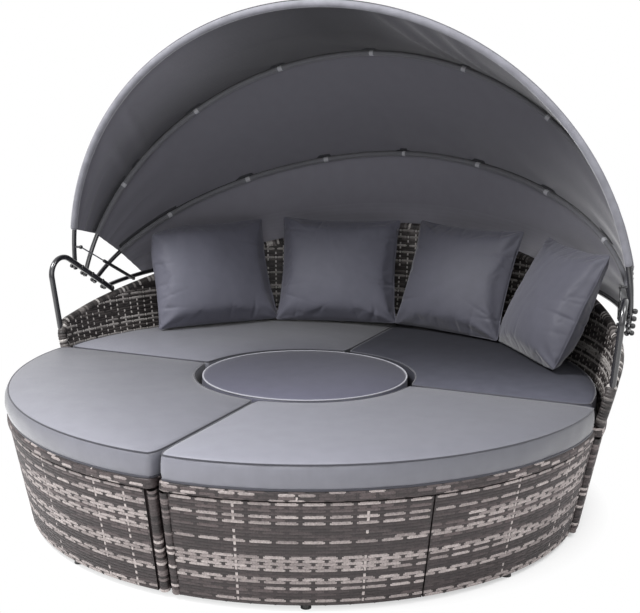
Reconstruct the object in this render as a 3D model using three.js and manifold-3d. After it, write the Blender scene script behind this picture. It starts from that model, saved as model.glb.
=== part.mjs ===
import * as THREE from 'three';
import Module from 'manifold-3d';
import { mergeVertices } from 'three/addons/utils/BufferGeometryUtils.js';

// Round outdoor daybed with a folding canopy, in millimetres, +Z up, opening towards -Y.
// Two front ottomans and a centre table stand inside the curve of a rear sofa.

const wasm = await Module();
wasm.setup();

// Driving sizes of the seating
const bedRadius = 902;
const skirtTopInset = 2;
const skirtSplay = 58;
const rearSkirtExtra = 14;
const glideHeight = 15;
const skirtHeight = 292;
const railHeight = 28;
const cushionThickness = 65;
const cushionCrown = 14;
const tableRadius = 330;
const tableCushionInset = 10;
const tableGap = 14;
const unitSeam = 4;
const seat = 0.3;

// Backrest
const backHeight = 768;
const armHeight = 478;
const wallThickness = 30;
const wallReach = 56;
const wallBow = 18;
const borderRadius = 15;
const borderGap = 2.2;
const armCornerDrop = 36;
const wallTopShares = [0, 0.18, 0.375, 0.565, 0.75, 0.92, 1, 0.92, 0.75, 0.565, 0.375, 0.18, 0];

// Woven skirts, rails, decks and frames
const skinThickness = 12;
const skinToFrame = 2;
const railWidth = 26;
const railProud = 2;
const railBevel = 5;
const cornerPostRadius = 14;
const frameTube = 20;
const frameSideInset = 30;
const postRadius = 9;
const frameFacetShare = 0.67;
const skirtFacetShare = 1.3;
const glideRadius = 13;
const deckGap = 2.5;
const slotWidth = 86;
const slatWidth = 44;
const slotMargin = 38;
const panelSeam = 4;

// Canopy bows, pivots and support tubes
const bowTubeRadius = 8;
const supportTubeRadius = 9.5;
const supportLean = THREE.MathUtils.degToRad(5);
const legY = 30;
const legLean = THREE.MathUtils.degToRad(5);
const supportPeakDrop = 16;
const supportBend = 50;
const legSocket = 25;
const runReach = 311.3;
const runEndSink = 5.5;
const runOutset = 20;
const firstPivotReach = 152.3;
const pivotPitch = 47.7;
const bowOffset = 19;
const bowLug = 12;
const bowTopsBeforeBack = [911, 438.5, 92.5, -61];
const bowTopsAboveBack = [756, 620, 264.5, -112.5];
const bowExponents = [2, 1.95, 1.85, 1.85];
const boltRadius = 3;
const boltHole = 3.8;
const boltHeadRadius = 6;
const boltHeadLength = 5;
const capRadius = 8.5;
const capLength = 10;
const boltEase = 1.7;

// Gas struts
const strutOnFrontBow = 70;
const strutOnRearBow = 120;
const strutInset = 28;
const strutTubeRadius = 6;
const strutBore = 3.2;
const strutRodRadius = 2.5;
const strutMouth = 180;
const strutFloor = 32;
const rodTip = 150;
const eyeRadius = 6.5;
const eyeWidth = 8;
const studRadius = 4;
const studGap = 0.9;
const neckLap = 1;

// Canopy cloth
const clothThickness = 2.5;
const clothOverBows = [3.1, 1.7, 1.7, 2.2];
const clothSag = 14;
const clothHem = 16;
const clothStarts = [133, 145, 155, 198];
const clothEdgeGap = 0.2;

// Soft seating
const rearCushionInset = 19;
const cushionSeam = 2;
const cushionSideDraw = 3;
const cushionBulge = 4;
const pillowSize = 445;
const pillowThickness = 120;
const pillowEdge = 8;
const domeShares = [0.8, 0.5, 0.2];
const pillowDrawShare = 0.05;
const pillowPlaces = [
  { name: 'throw_pillow_left', inset: 158, along: 640, lean: 25, lift: 0 },
  { name: 'throw_pillow_centre_left', inset: 160, along: 198, lean: 22, lift: -0.1 },
  { name: 'throw_pillow_centre_right', inset: 160, along: -240, lean: 22, lift: 0 },
  { name: 'throw_pillow_right', inset: 158, along: -676, lean: 25, lift: 0 },
];

// Finishes
const wicker = new THREE.MeshStandardMaterial({ color: 0x8b8580, roughness: 0.7 });
const darkWicker = new THREE.MeshStandardMaterial({ color: 0x5a5552, roughness: 0.7 });
const blackSteel = new THREE.MeshStandardMaterial({ color: 0x17181b, roughness: 0.4, metalness: 0.6 });
const brightSteel = new THREE.MeshStandardMaterial({ color: 0xb8bbc0, roughness: 0.3, metalness: 0.9 });
const blackPlastic = new THREE.MeshStandardMaterial({ color: 0x111113, roughness: 0.5 });
const cushionCloth = new THREE.MeshStandardMaterial({ color: 0x8c8c96, roughness: 0.9 });
const pillowCloth = new THREE.MeshStandardMaterial({ color: 0x686870, roughness: 0.9 });
const canopyCloth = new THREE.MeshStandardMaterial({ color: 0x4b4b50, roughness: 0.9 });

// Heights worked out from the sizes above
const railBottom = glideHeight + skirtHeight;
const deckTop = railBottom + railHeight;
const cushionBottom = deckTop + seat;
const cushionTop = cushionBottom + cushionThickness;
const flare = skirtSplay / skirtHeight;
const rearCushionRadius = bedRadius - rearCushionInset;
const supportPeak = backHeight - armHeight - supportPeakDrop;
const quarter = Math.PI / 2;

// Signed volume of a closed triangle mesh, positive when its faces point outwards.
function signedVolume(geometry) {
  const corners = geometry.attributes.position;
  const index = geometry.index;
  const [a, b, c] = [new THREE.Vector3(), new THREE.Vector3(), new THREE.Vector3()];
  let total = 0;
  for (let i = 0; i < index.count; i += 3) {
    a.fromBufferAttribute(corners, index.getX(i));
    b.fromBufferAttribute(corners, index.getX(i + 1));
    c.fromBufferAttribute(corners, index.getX(i + 2));
    total += a.dot(b.cross(c));
  }
  return total;
}

// One closed body: shared corners merged and faces pointing out.
function closed(geometry) {
  const bare = geometry.clone();
  bare.deleteAttribute('normal');
  bare.deleteAttribute('uv');
  const merged = mergeVertices(bare);
  if (signedVolume(merged) < 0) {
    const order = merged.index.array;
    for (let i = 0; i < order.length; i += 3) {
      [order[i + 1], order[i + 2]] = [order[i + 2], order[i + 1]];
    }
  }
  return merged;
}

function solid(geometry) {
  const merged = closed(geometry);
  return new wasm.Manifold(new wasm.Mesh({
    numProp: 3,
    vertProperties: new Float32Array(merged.attributes.position.array),
    triVerts: new Uint32Array(merged.index.array),
  }));
}

function fromSolid(body) {
  const mesh = body.getMesh();
  const geometry = new THREE.BufferGeometry();
  geometry.setAttribute('position', new THREE.BufferAttribute(new Float32Array(mesh.vertProperties), 3));
  geometry.setIndex(new THREE.BufferAttribute(new Uint32Array(mesh.triVerts), 1));
  return geometry;
}

function joined(...geometries) {
  return fromSolid(geometries.map(solid).reduce((whole, next) => whole.add(next)));
}

function cutBy(geometry, ...cutters) {
  return fromSolid(cutters.map(solid).reduce((left, cutter) => left.subtract(cutter), solid(geometry)));
}

function common(first, second) {
  return fromSolid(solid(first).intersect(solid(second)));
}

// A unit box with subdivided faces, each corner moved to place(s, t, h) with shares from 0 to 1.
function mappedBox(columns, rows, layers, place) {
  const geometry = new THREE.BoxGeometry(1, 1, 1, columns, rows, layers);
  const corners = geometry.attributes.position;
  const half = 1 / 2;
  for (let i = 0; i < corners.count; i += 1) {
    const spot = place(corners.getX(i) + half, corners.getY(i) + half, corners.getZ(i) + half);
    corners.setXYZ(i, spot.x, spot.y, spot.z);
  }
  return closed(geometry);
}

function roundSection(radius, sides) {
  const points = [];
  for (let i = 0; i < sides; i += 1) {
    const turn = (i / sides) * 2 * Math.PI;
    points.push(new THREE.Vector2(radius * Math.cos(turn), radius * Math.sin(turn)));
  }
  return new THREE.Shape(points);
}

function tubeAlong(curve, radius, sides, steps) {
  return new THREE.ExtrudeGeometry(roundSection(radius, sides), {
    extrudePath: curve,
    steps,
    bevelEnabled: false,
  });
}

function rodBetween(from, to, radius, sides = 10) {
  return tubeAlong(new THREE.LineCurve3(from, to), radius, sides, 1);
}

function prism(shape, bottom, height, curveSegments) {
  const geometry = new THREE.ExtrudeGeometry(shape, { depth: height, bevelEnabled: false, curveSegments });
  geometry.translate(0, 0, bottom);
  return geometry;
}

// Plan of a unit: a ring sector with its straight sides moved in from the seams, or a disc.
function trace(path, unit, inset, sideInset) {
  const outer = unit.outer - inset;
  if (unit.inner === 0) {
    path.absarc(0, 0, outer, 0, 2 * Math.PI, false);
    return path;
  }
  const inner = unit.inner + inset;
  const side = unitSeam + sideInset;
  const outerTurn = Math.asin(side / outer);
  const innerTurn = Math.asin(side / inner);
  const end = unit.start + unit.sweep;
  path.absarc(0, 0, outer, unit.start + outerTurn, end - outerTurn, false);
  path.absarc(0, 0, inner, end - innerTurn, unit.start + innerTurn, true);
  path.closePath();
  return path;
}

function planShape(unit, inset, sideInset = inset) {
  return trace(new THREE.Shape(), unit, inset, sideInset);
}

function planRing(unit, inset, width, sideInset = inset) {
  const shape = planShape(unit, inset, sideInset);
  shape.holes.push(trace(new THREE.Path(), unit, inset + width, sideInset + width));
  return shape;
}

function skirtRadius(unit, height) {
  return unit.foot + unit.flare * (height - glideHeight);
}

function polar(radius, turn, height) {
  return new THREE.Vector3(radius * Math.cos(turn), radius * Math.sin(turn), height);
}

// The units, seen from above: turns run anticlockwise from +X.
function makeUnit(name, start, sweep, extra, feet, innerFeet, segments) {
  const foot = bedRadius - skirtTopInset - skirtSplay + extra;
  const outer = foot + flare * (railBottom + railHeight / 2 - glideHeight) + railProud;
  const frameSegments = Math.round(segments * frameFacetShare);
  const inner = tableRadius + tableGap;
  return { name, start, sweep, foot, flare, outer, inner, feet, innerFeet, segments, frameSegments };
}

const degree = Math.PI / 180;
const frontFeet = [24.5, 65.5];
const units = {
  frontRight: makeUnit('front_right', -quarter, quarter, 0, frontFeet, [30, 60], 6),
  frontLeft: makeUnit('front_left', -2 * quarter, quarter, 0, frontFeet, [30, 60], 6),
  rear: makeUnit('rear', 0, 2 * quarter, rearSkirtExtra, [4.5, 47, 90, 133, 175.5], [30, 90, 150], 12),
  table: {
    name: 'table',
    start: 0,
    sweep: 4 * quarter,
    foot: tableRadius - railProud,
    flare: 0,
    outer: tableRadius,
    inner: 0,
    feet: [45, 135, 225, 315],
    innerFeet: [],
    segments: 12,
    frameSegments: 12,
  },
};

// Wrapped rail round the top of a unit, with its outer edges eased.
function railGeometry(unit) {
  const ease = railBevel;
  const shape = planRing(unit, ease, railWidth - 2 * ease);
  const geometry = new THREE.ExtrudeGeometry(shape, {
    depth: railHeight - 2 * ease,
    bevelEnabled: true,
    bevelThickness: ease,
    bevelSize: ease,
    bevelSegments: 1,
    curveSegments: unit.segments,
  });
  geometry.translate(0, 0, railBottom + ease);
  return closed(geometry);
}

// Slatted deck inside the rail, resting on the frame.
function deckGeometry(unit) {
  const plan = planShape(unit, railWidth + deckGap);
  const plate = prism(plan, railBottom + seat, railHeight - seat, unit.segments);
  const window = prism(planShape(unit, railWidth + slotMargin), 0, 2 * deckTop, unit.segments);
  const turn = unit.start + unit.sweep / 2;
  const pitch = slotWidth + slatWidth;
  const count = Math.floor(unit.outer / pitch);
  let slots = null;
  for (let i = -count; i <= count; i += 1) {
    const slot = new THREE.BoxGeometry(2 * unit.outer, slotWidth, 2 * (deckTop + railHeight));
    slot.translate(0, (i + 1 / 2) * pitch, 0);
    slot.rotateZ(unit.inner === 0 ? 0 : turn);
    slots = slots ? slots.add(solid(slot)) : solid(slot);
  }
  return fromSolid(solid(plate).subtract(slots.intersect(solid(window))));
}

// Welded steel frame: two rings of square tube, posts and levelling glides.
function frameGeometry(unit) {
  const skin = skinThickness + skinToFrame;
  const lowBottom = glideHeight + skinToFrame;
  const lowTop = lowBottom + frameTube;
  const highBottom = railBottom - frameTube;
  const outset = (height) => unit.outer - skirtRadius(unit, height) + skin;
  const ring = (bottom, inset) => {
    const inner = unit.inner === 0 ? 0 : unit.inner - inset + skin;
    const plan = planRing({ ...unit, inner }, inset, frameTube, frameSideInset);
    return prism(plan, bottom, frameTube, unit.frameSegments);
  };
  const low = unit.inner === 0 ? skin + railProud : outset(lowBottom);
  const high = unit.inner === 0 ? skin + railProud : outset(highBottom);
  const parts = [ring(lowBottom, low), ring(highBottom, high)];
  const lowRadius = unit.outer - low - frameTube / 2;
  const highRadius = unit.outer - high - frameTube / 2;
  for (const bearing of unit.feet) {
    const turn = unit.start + bearing * degree;
    const postFoot = polar(lowRadius, turn, lowBottom + frameTube / 2);
    const postHead = polar(highRadius, turn, highBottom + frameTube / 2);
    parts.push(rodBetween(postFoot, postHead, postRadius, 6));
    parts.push(glideAt(lowRadius, turn, lowTop));
  }
  const innerRadius = unit.inner + skin + frameTube / 2;
  for (const bearing of unit.innerFeet) {
    const turn = unit.start + bearing * degree;
    const postFoot = polar(innerRadius, turn, lowBottom);
    const postHead = polar(innerRadius, turn, railBottom - frameTube / 2);
    parts.push(rodBetween(postFoot, postHead, postRadius, 6));
    parts.push(glideAt(innerRadius, turn, lowTop));
  }
  return joined(...parts);
}

// Round glide on a stem that is set into the lower ring.
function glideAt(radius, turn, top) {
  const stem = postRadius / 2;
  const profile = [
    new THREE.Vector2(0, 0),
    new THREE.Vector2(glideRadius, 0),
    new THREE.Vector2(glideRadius, glideHeight / 2),
    new THREE.Vector2(stem, glideHeight / 2),
    new THREE.Vector2(stem, top - frameTube / 2),
    new THREE.Vector2(0, top - frameTube / 2),
  ];
  const glide = new THREE.LatheGeometry(profile, 6);
  glide.rotateX(quarter);
  const spot = polar(radius, turn, 0);
  glide.translate(spot.x, spot.y, spot.z);
  return glide;
}

// Inner woven wall: straight side, curve round the table, straight side, and leaning corner posts.
function innerWallGeometry(unit) {
  const height = skirtHeight - seat;
  const ring = prism(planRing(unit, 0, skinThickness), glideHeight, height, unit.segments);
  const reach = cornerPostRadius;
  const cone = new THREE.CylinderGeometry(
    skirtRadius(unit, railBottom) - reach,
    skirtRadius(unit, glideHeight) - reach,
    skirtHeight,
    unit.segments * 4,
  );
  cone.rotateX(quarter);
  cone.translate(0, 0, glideHeight + skirtHeight / 2);
  const parts = [common(ring, cone)];
  const side = unitSeam + cornerPostRadius;
  for (const end of [0, 1]) {
    const at = (z) => {
      const radius = skirtRadius(unit, z) - cornerPostRadius;
      const inward = Math.asin(side / radius);
      return polar(radius, end === 0 ? unit.start + inward : unit.start + unit.sweep - inward, z);
    };
    parts.push(rodBetween(at(glideHeight), at(railBottom - 2 * seat), cornerPostRadius, 12));
  }
  const half = planShape({ ...unit, outer: 2 * bedRadius }, 0, -unitSeam);
  return common(joined(...parts), prism(half, glideHeight, height, unit.segments));
}

// One flared outer panel between two turns.
function skirtPanel(unit, from, to, columns) {
  return mappedBox(columns, 1, 1, (s, t, h) => {
    const height = glideHeight + t * (skirtHeight - seat);
    const radius = skirtRadius(unit, height) - (1 - h) * skinThickness;
    return polar(radius, from + s * (to - from), height);
  });
}

function skirtPanels(unit) {
  const clear = Math.asin((unitSeam + 2 * cornerPostRadius + seat) / unit.foot);
  const middle = unit.start + unit.sweep / 2;
  const gap = panelSeam / 2 / unit.foot;
  const columns = Math.round(unit.segments * skirtFacetShare);
  return [
    skirtPanel(unit, unit.start + clear, middle - gap, columns),
    skirtPanel(unit, middle + gap, unit.start + unit.sweep - clear, columns),
  ];
}

const wallTopLine = new THREE.SplineCurve(wallTopShares.map((share, i) => new THREE.Vector2(i, share)));

// Backrest: height of its top at a bearing from the back, in radians, and its outer radius.
function wallTop(bearing) {
  const place = THREE.MathUtils.clamp((bearing / quarter + 1) / 2, 0, 1);
  return armHeight + (backHeight - armHeight) * wallTopLine.getPoint(place).y;
}

function wallOuter(height) {
  const share = (height - deckTop) / (backHeight - deckTop);
  const base = units.rear.foot + flare * (deckTop - glideHeight);
  return base + wallReach * share + wallBow * (1 - (2 * share - 1) ** 2);
}

function wallMiddle(height) {
  return wallOuter(height) - wallThickness / 2;
}

// The support tube's run follows the arm: it falls to the wall's top and turns in with its plan.
function armSide(y) {
  return Math.sqrt(wallMiddle(armHeight) ** 2 - y ** 2);
}

const runEnd = legY + runReach;
const runEndTop = wallTop(Math.atan2(armSide(runEnd), runEnd)) - armHeight - runEndSink;
const runSlope = Math.atan2(supportPeak - runEndTop, runReach);
const supportYaw = Math.atan2(armSide(legY) - armSide(runEnd) - runOutset, runReach);

function borderPoint(bearing) {
  const height = wallTop(bearing) - borderRadius;
  return polar(wallMiddle(height), quarter - bearing, height);
}

function wallGeometry() {
  const ends = quarter - Math.asin((legY + borderRadius + seat) / wallMiddle(deckTop));
  const wall = mappedBox(36, 3, 1, (s, t, h) => {
    const bearing = (2 * s - 1) * ends;
    const top = wallTop(bearing) - 2 * borderRadius - borderGap;
    const bottom = deckTop + seat;
    const height = bottom + t * (top - bottom);
    return polar(wallOuter(height) - (1 - h) * wallThickness, quarter - bearing, height);
  });
  return cutBy(wall, borderTube(borderRadius + 2 * seat), ...tubeSockets());
}

// Wrapped border: up one arm post, along the top of the wall and down the other.
function borderCurve() {
  const points = [];
  const postHeights = [deckTop - borderRadius, (deckTop + armHeight) / 2, armHeight - armCornerDrop];
  for (const height of postHeights) {
    const radius = wallMiddle(height);
    points.push(new THREE.Vector3(Math.sqrt(radius ** 2 - legY ** 2), legY, height));
  }
  const first = quarter - Math.asin((legY + borderRadius) / wallMiddle(armHeight));
  const count = 18;
  for (let i = 0; i <= count; i += 1) {
    points.push(borderPoint(first * (1 - (2 * i) / count)));
  }
  for (const height of postHeights.slice().reverse()) {
    const radius = wallMiddle(height);
    points.push(new THREE.Vector3(-Math.sqrt(radius ** 2 - legY ** 2), legY, height));
  }
  return new THREE.CatmullRomCurve3(points, false, 'centripetal');
}

// Support tube, bent in one plane that follows the arm. side is -1 on the left, 1 on the right.
function supportPoint(along, up, side) {
  const x = armSide(legY) - along * Math.sin(supportYaw) + up * Math.sin(supportLean);
  const y = legY + along * Math.cos(supportYaw);
  return new THREE.Vector3(side * x, y, armHeight + up * Math.cos(supportLean));
}

function supportCorners() {
  const peak = new THREE.Vector2(-Math.tan(legLean) * supportPeak, supportPeak);
  const legDown = new THREE.Vector2(Math.sin(legLean), -Math.cos(legLean));
  const runDown = new THREE.Vector2(Math.cos(runSlope), -Math.sin(runSlope));
  return { peak, legDown, runDown };
}

function supportCurve(side) {
  const { peak, legDown, runDown } = supportCorners();
  const between = Math.acos(legDown.dot(runDown));
  const tangent = supportBend / Math.tan(between / 2);
  const flat = new THREE.CurvePath();
  const foot = peak.clone().addScaledVector(legDown, supportPeak / Math.cos(legLean) + legSocket);
  const bendStart = peak.clone().addScaledVector(legDown, tangent);
  const bendEnd = peak.clone().addScaledVector(runDown, tangent);
  const low = peak.clone().addScaledVector(runDown, runReach / runDown.x);
  const middle = legDown.clone().add(runDown).normalize();
  const centre = peak.clone().addScaledVector(middle, supportBend / Math.sin(between / 2));
  flat.add(new THREE.LineCurve(foot, bendStart));
  const from = bendStart.clone().sub(centre).angle();
  const to = bendEnd.clone().sub(centre).angle();
  flat.add(new THREE.EllipseCurve(centre.x, centre.y, supportBend, supportBend, from, to, true));
  flat.add(new THREE.LineCurve(bendEnd, low));
  const points = flat.getSpacedPoints(40).map((p) => supportPoint(p.x, p.y, side));
  return new THREE.CatmullRomCurve3(points, false, 'centripetal');
}

// Pivot of bow i on a support tube, and the plane x that the bow's ends turn in.
function pivotOnTube(i, side) {
  const { peak, runDown } = supportCorners();
  const spot = peak.clone().addScaledVector(runDown, (firstPivotReach + i * pivotPitch) / runDown.x);
  return supportPoint(spot.x, spot.y, side);
}

function bow(i) {
  const pivot = pivotOnTube(i, 1);
  const back = wallOuter(backHeight) - bowTopsBeforeBack[i] - pivot.y;
  const up = backHeight + bowTopsAboveBack[i] - pivot.z;
  return {
    halfWidth: pivot.x + bowOffset,
    y: pivot.y,
    z: pivot.z,
    height: Math.hypot(back, up),
    exponent: bowExponents[i],
    angle: Math.atan2(up, back),
  };
}

const bows = [0, 1, 2, 3].map(bow);

// Point of a bow at turn t, from its right end over the top to its left end, moved out by a clearance.
function bowPoint(b, t, out = 0) {
  const power = 2 / b.exponent;
  const across = b.halfWidth * Math.sign(Math.cos(t)) * Math.abs(Math.cos(t)) ** power;
  const up = b.height * Math.max(0, Math.sin(t)) ** power;
  const outward = new THREE.Vector2(
    Math.sign(across) * Math.abs(across / b.halfWidth) ** (b.exponent - 1) / b.halfWidth,
    (up / b.height) ** (b.exponent - 1) / b.height,
  ).normalize();
  const x = across + out * outward.x;
  const s = up + out * outward.y;
  return new THREE.Vector3(x, b.y + s * Math.cos(b.angle), b.z + s * Math.sin(b.angle));
}

// Turn at which a bow reaches a given distance from its pivots.
function turnAt(b, reach) {
  return Math.asin((reach / b.height) ** (b.exponent / 2));
}

function bowCurve(b) {
  const along = new THREE.Vector3(0, Math.cos(b.angle), Math.sin(b.angle));
  const points = [];
  const count = 40;
  for (let i = 0; i <= count; i += 1) {
    points.push(bowPoint(b, (i / count) * Math.PI));
  }
  points.unshift(points[0].clone().addScaledVector(along, -bowLug));
  points.push(points[points.length - 1].clone().addScaledVector(along, -bowLug));
  return new THREE.CatmullRomCurve3(points, false, 'centripetal');
}

function boltHoleAt(spot, reach) {
  const half = new THREE.Vector3(reach, 0, 0);
  return rodBetween(spot.clone().sub(half), spot.clone().add(half), boltHole, 6);
}

// Ends of a strut: on the front bow and on the rear bow.
function strutEnds(side) {
  const front = bowPoint(bows[0], turnAt(bows[0], strutOnFrontBow));
  const rear = bowPoint(bows[3], turnAt(bows[3], strutOnRearBow));
  return [rear, front].map((p) => new THREE.Vector3(side * (p.x - strutInset), p.y, p.z));
}

function studOn(b, reach, end, gap, side) {
  const root = bowPoint(b, turnAt(b, reach));
  root.x *= side;
  const tip = end.clone();
  tip.x += side * (eyeWidth / 2 + gap);
  return rodBetween(root, tip, studRadius, 10);
}

function bowGeometry(i) {
  const b = bows[i];
  const parts = [tubeAlong(bowCurve(b), bowTubeRadius, 8, 27)];
  for (const side of [-1, 1]) {
    const [rear, front] = strutEnds(side);
    if (i === 0) {
      parts.push(studOn(b, strutOnFrontBow, front, studGap, side));
    }
    if (i === 3) {
      parts.push(studOn(b, strutOnRearBow, rear, studGap, side));
    }
  }
  const holes = [-1, 1].map((side) => boltHoleAt(
    new THREE.Vector3(side * b.halfWidth, b.y, b.z),
    2 * bowTubeRadius,
  ));
  return cutBy(joined(...parts), ...holes);
}

function supportGeometry(side) {
  const holes = [0, 1, 2, 3].map((i) => boltHoleAt(pivotOnTube(i, side), 2 * supportTubeRadius));
  return cutBy(tubeAlong(supportCurve(side), supportTubeRadius, 8, 22), ...holes);
}

function borderTube(radius) {
  return tubeAlong(borderCurve(), radius, 8, 46);
}

// Sockets that take the lower ends of the support tubes.
function tubeSockets() {
  return [-1, 1].map((side) => tubeAlong(supportCurve(side), supportTubeRadius + seat, 8, 22));
}

function borderGeometry() {
  const span = 2 * (wallOuter(backHeight) + wallThickness);
  const floor = new THREE.BoxGeometry(span, span, deckTop);
  floor.translate(0, 0, deckTop / 2 + seat);
  return cutBy(borderTube(borderRadius), floor, ...tubeSockets());
}

// Pivot bolt with a head inboard and a round cap outboard of the bow.
function boltGeometry(i, side) {
  const spot = pivotOnTube(i, side);
  const headFace = -supportTubeRadius - 2 * seat - boltHeadRadius * Math.tan(supportYaw);
  const capFace = bowOffset + bowTubeRadius + seat;
  const profile = [
    [0, headFace - boltHeadLength],
    [boltHeadRadius - boltEase, headFace - boltHeadLength],
    [boltHeadRadius, headFace],
    [boltRadius, headFace],
    [boltRadius, capFace],
    [capRadius, capFace],
    [capRadius, capFace + capLength - 2 * boltEase],
    [capRadius - 2 * boltEase, capFace + capLength],
    [0, capFace + capLength],
  ].map(([r, x]) => new THREE.Vector2(r, x));
  const bolt = new THREE.LatheGeometry(profile, 8);
  bolt.rotateZ(-side * quarter);
  bolt.translate(spot.x, spot.y, spot.z);
  return closed(bolt);
}

function eye(spot) {
  const half = new THREE.Vector3(eyeWidth / 2, 0, 0);
  return rodBetween(spot.clone().sub(half), spot.clone().add(half), eyeRadius, 12);
}

function alongStrut(side, distance) {
  const [rear, front] = strutEnds(side);
  return rear.clone().addScaledVector(front.clone().sub(rear).normalize(), distance);
}

function strutCylinderGeometry(side) {
  const [rear] = strutEnds(side);
  const neck = alongStrut(side, 2 * eyeRadius);
  const shoulder = alongStrut(side, 2 * eyeRadius - neckLap);
  const mouth = alongStrut(side, strutMouth);
  const body = joined(
    eye(rear),
    rodBetween(rear, neck, studRadius),
    rodBetween(shoulder, mouth, strutTubeRadius, 12),
  );
  const floor = alongStrut(side, strutFloor);
  const beyond = alongStrut(side, strutMouth + strutFloor);
  return cutBy(body, rodBetween(floor, beyond, strutBore, 12));
}

function strutRodGeometry(side) {
  const [, front] = strutEnds(side);
  return joined(
    eye(front),
    rodBetween(alongStrut(side, rodTip), front, strutRodRadius),
  );
}

// Cloth stretched over two neighbouring bows, in from their line by the sag.
function clothGeometry(first) {
  const [a, b] = [bows[first], bows[first + 1]];
  const startA = turnAt(a, clothStarts[first]);
  const startB = turnAt(b, clothStarts[first + 1]);
  const hemFront = first === 0 ? clothHem : -clothEdgeGap;
  const hemRear = first === 2 ? clothHem : -clothEdgeGap;
  return mappedBox(26, 3, 1, (s, t, h) => {
    const out = bowTubeRadius + h * clothThickness;
    const onA = bowPoint(a, startA + s * (Math.PI - 2 * startA), out + clothOverBows[first]);
    const onB = bowPoint(b, startB + s * (Math.PI - 2 * startB), out + clothOverBows[first + 1]);
    const span = onA.distanceTo(onB);
    const share = (t * (span + hemFront + hemRear) - hemFront) / span;
    const spot = onA.lerp(onB, share);
    const sag = clothSag * Math.sin(Math.PI * Math.min(1, Math.max(0, share))) * Math.sin(Math.PI * s);
    const inward = new THREE.Vector3(0, (a.y + b.y) / 2, (a.z + b.z) / 2).sub(spot).normalize();
    return spot.addScaledVector(inward, sag);
  });
}

// Seat cushion in the plan of a unit, with a crown, eased corners and drawn-in sides.
function cushionGeometry(unit, outer, inner, start, sweep) {
  return mappedBox(10, 5, 2, (s, t, h) => {
    const belly = cushionBulge * (1 - Math.abs(2 * h - 1));
    const draw = cushionSideDraw * (1 - (2 * s - 1) ** 2);
    const radius = inner - belly + t * (outer - inner + 2 * belly) - t * draw + (1 - t) * draw / 2;
    const side = cushionSeam + cushionBulge + cushionSideDraw * (1 - (2 * t - 1) ** 2) - belly;
    const inset = Math.asin(side / radius);
    const turn = start + inset + s * (sweep - 2 * inset);
    const dome = (1 - (2 * s - 1) ** 4) * (1 - (2 * t - 1) ** 4);
    const height = cushionBottom + h * cushionThickness + (h === 1 ? cushionCrown * dome : 0);
    return polar(radius, turn, height);
  });
}

function tableCushionGeometry() {
  const edge = tableRadius - tableCushionInset;
  const rim = edge - cushionBulge;
  const points = [
    new THREE.Vector2(0, cushionBottom),
    new THREE.Vector2(rim, cushionBottom),
    new THREE.Vector2(edge, cushionBottom + cushionThickness / 2),
    new THREE.Vector2(rim, cushionTop),
  ];
  for (const share of domeShares) {
    points.push(new THREE.Vector2(rim * share, cushionTop + cushionCrown * (1 - share ** 4)));
  }
  points.push(new THREE.Vector2(0, cushionTop + cushionCrown));
  const geometry = new THREE.LatheGeometry(points, 26);
  geometry.rotateX(quarter);
  return closed(geometry);
}

// Throw pillow with thin edges and pulled-out corners, leaning back on the sofa.
function pillowGeometry() {
  return mappedBox(8, 8, 1, (s, t, h) => {
    const u = -Math.cos(Math.PI * s);
    const v = -Math.cos(Math.PI * t);
    const x = (pillowSize / 2) * u * (1 - pillowDrawShare * (1 - v * v));
    const y = (pillowSize / 2) * v * (1 - pillowDrawShare * (1 - u * u));
    const full = Math.sqrt(Math.max(0, 1 - u ** 4)) * Math.sqrt(Math.max(0, 1 - v ** 4));
    const thick = (pillowEdge + (pillowThickness - pillowEdge) * full) / 2;
    return new THREE.Vector3(x, (2 * h - 1) * thick, y + pillowSize / 2);
  });
}

function pillowMesh(place) {
  const radius = rearCushionRadius - place.inset;
  const bearing = place.along / radius;
  const stand = new THREE.Group();
  stand.position.copy(polar(radius, quarter + bearing, cushionTop + cushionCrown + place.lift));
  stand.rotation.z = bearing;
  const mesh = named(place.name, pillowGeometry(), pillowCloth);
  mesh.rotation.x = -place.lean * degree;
  stand.add(mesh);
  return stand;
}

function named(name, geometry, material) {
  geometry.computeVertexNormals();
  const mesh = new THREE.Mesh(geometry, material);
  mesh.name = name;
  return mesh;
}

// A front ottoman: frame, woven walls, rail, deck and cushion.
function buildOttoman(unit) {
  const group = new THREE.Group();
  const [first, second] = skirtPanels(unit);
  group.add(
    named(`${unit.name}_frame`, frameGeometry(unit), blackSteel),
    named(`${unit.name}_inner_wall`, innerWallGeometry(unit), wicker),
    named(`${unit.name}_skirt_panel_a`, first, wicker),
    named(`${unit.name}_skirt_panel_b`, second, wicker),
    named(`${unit.name}_rail`, railGeometry(unit), wicker),
    named(`${unit.name}_deck`, deckGeometry(unit), blackSteel),
    named(
      `${unit.name}_cushion`,
      cushionGeometry(unit, bedRadius, tableRadius + tableGap, unit.start, unit.sweep),
      cushionCloth,
    ),
  );
  return group;
}

function buildTable() {
  const unit = units.table;
  const group = new THREE.Group();
  const ring = planRing(unit, railProud, skinThickness);
  const wall = prism(ring, glideHeight, skirtHeight - seat, unit.segments);
  group.add(
    named('table_frame', frameGeometry(unit), blackSteel),
    named('table_skirt', closed(wall), wicker),
    named('table_rail', railGeometry(unit), wicker),
    named('table_deck', deckGeometry(unit), blackSteel),
    named('table_cushion', tableCushionGeometry(), cushionCloth),
  );
  return group;
}

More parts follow.
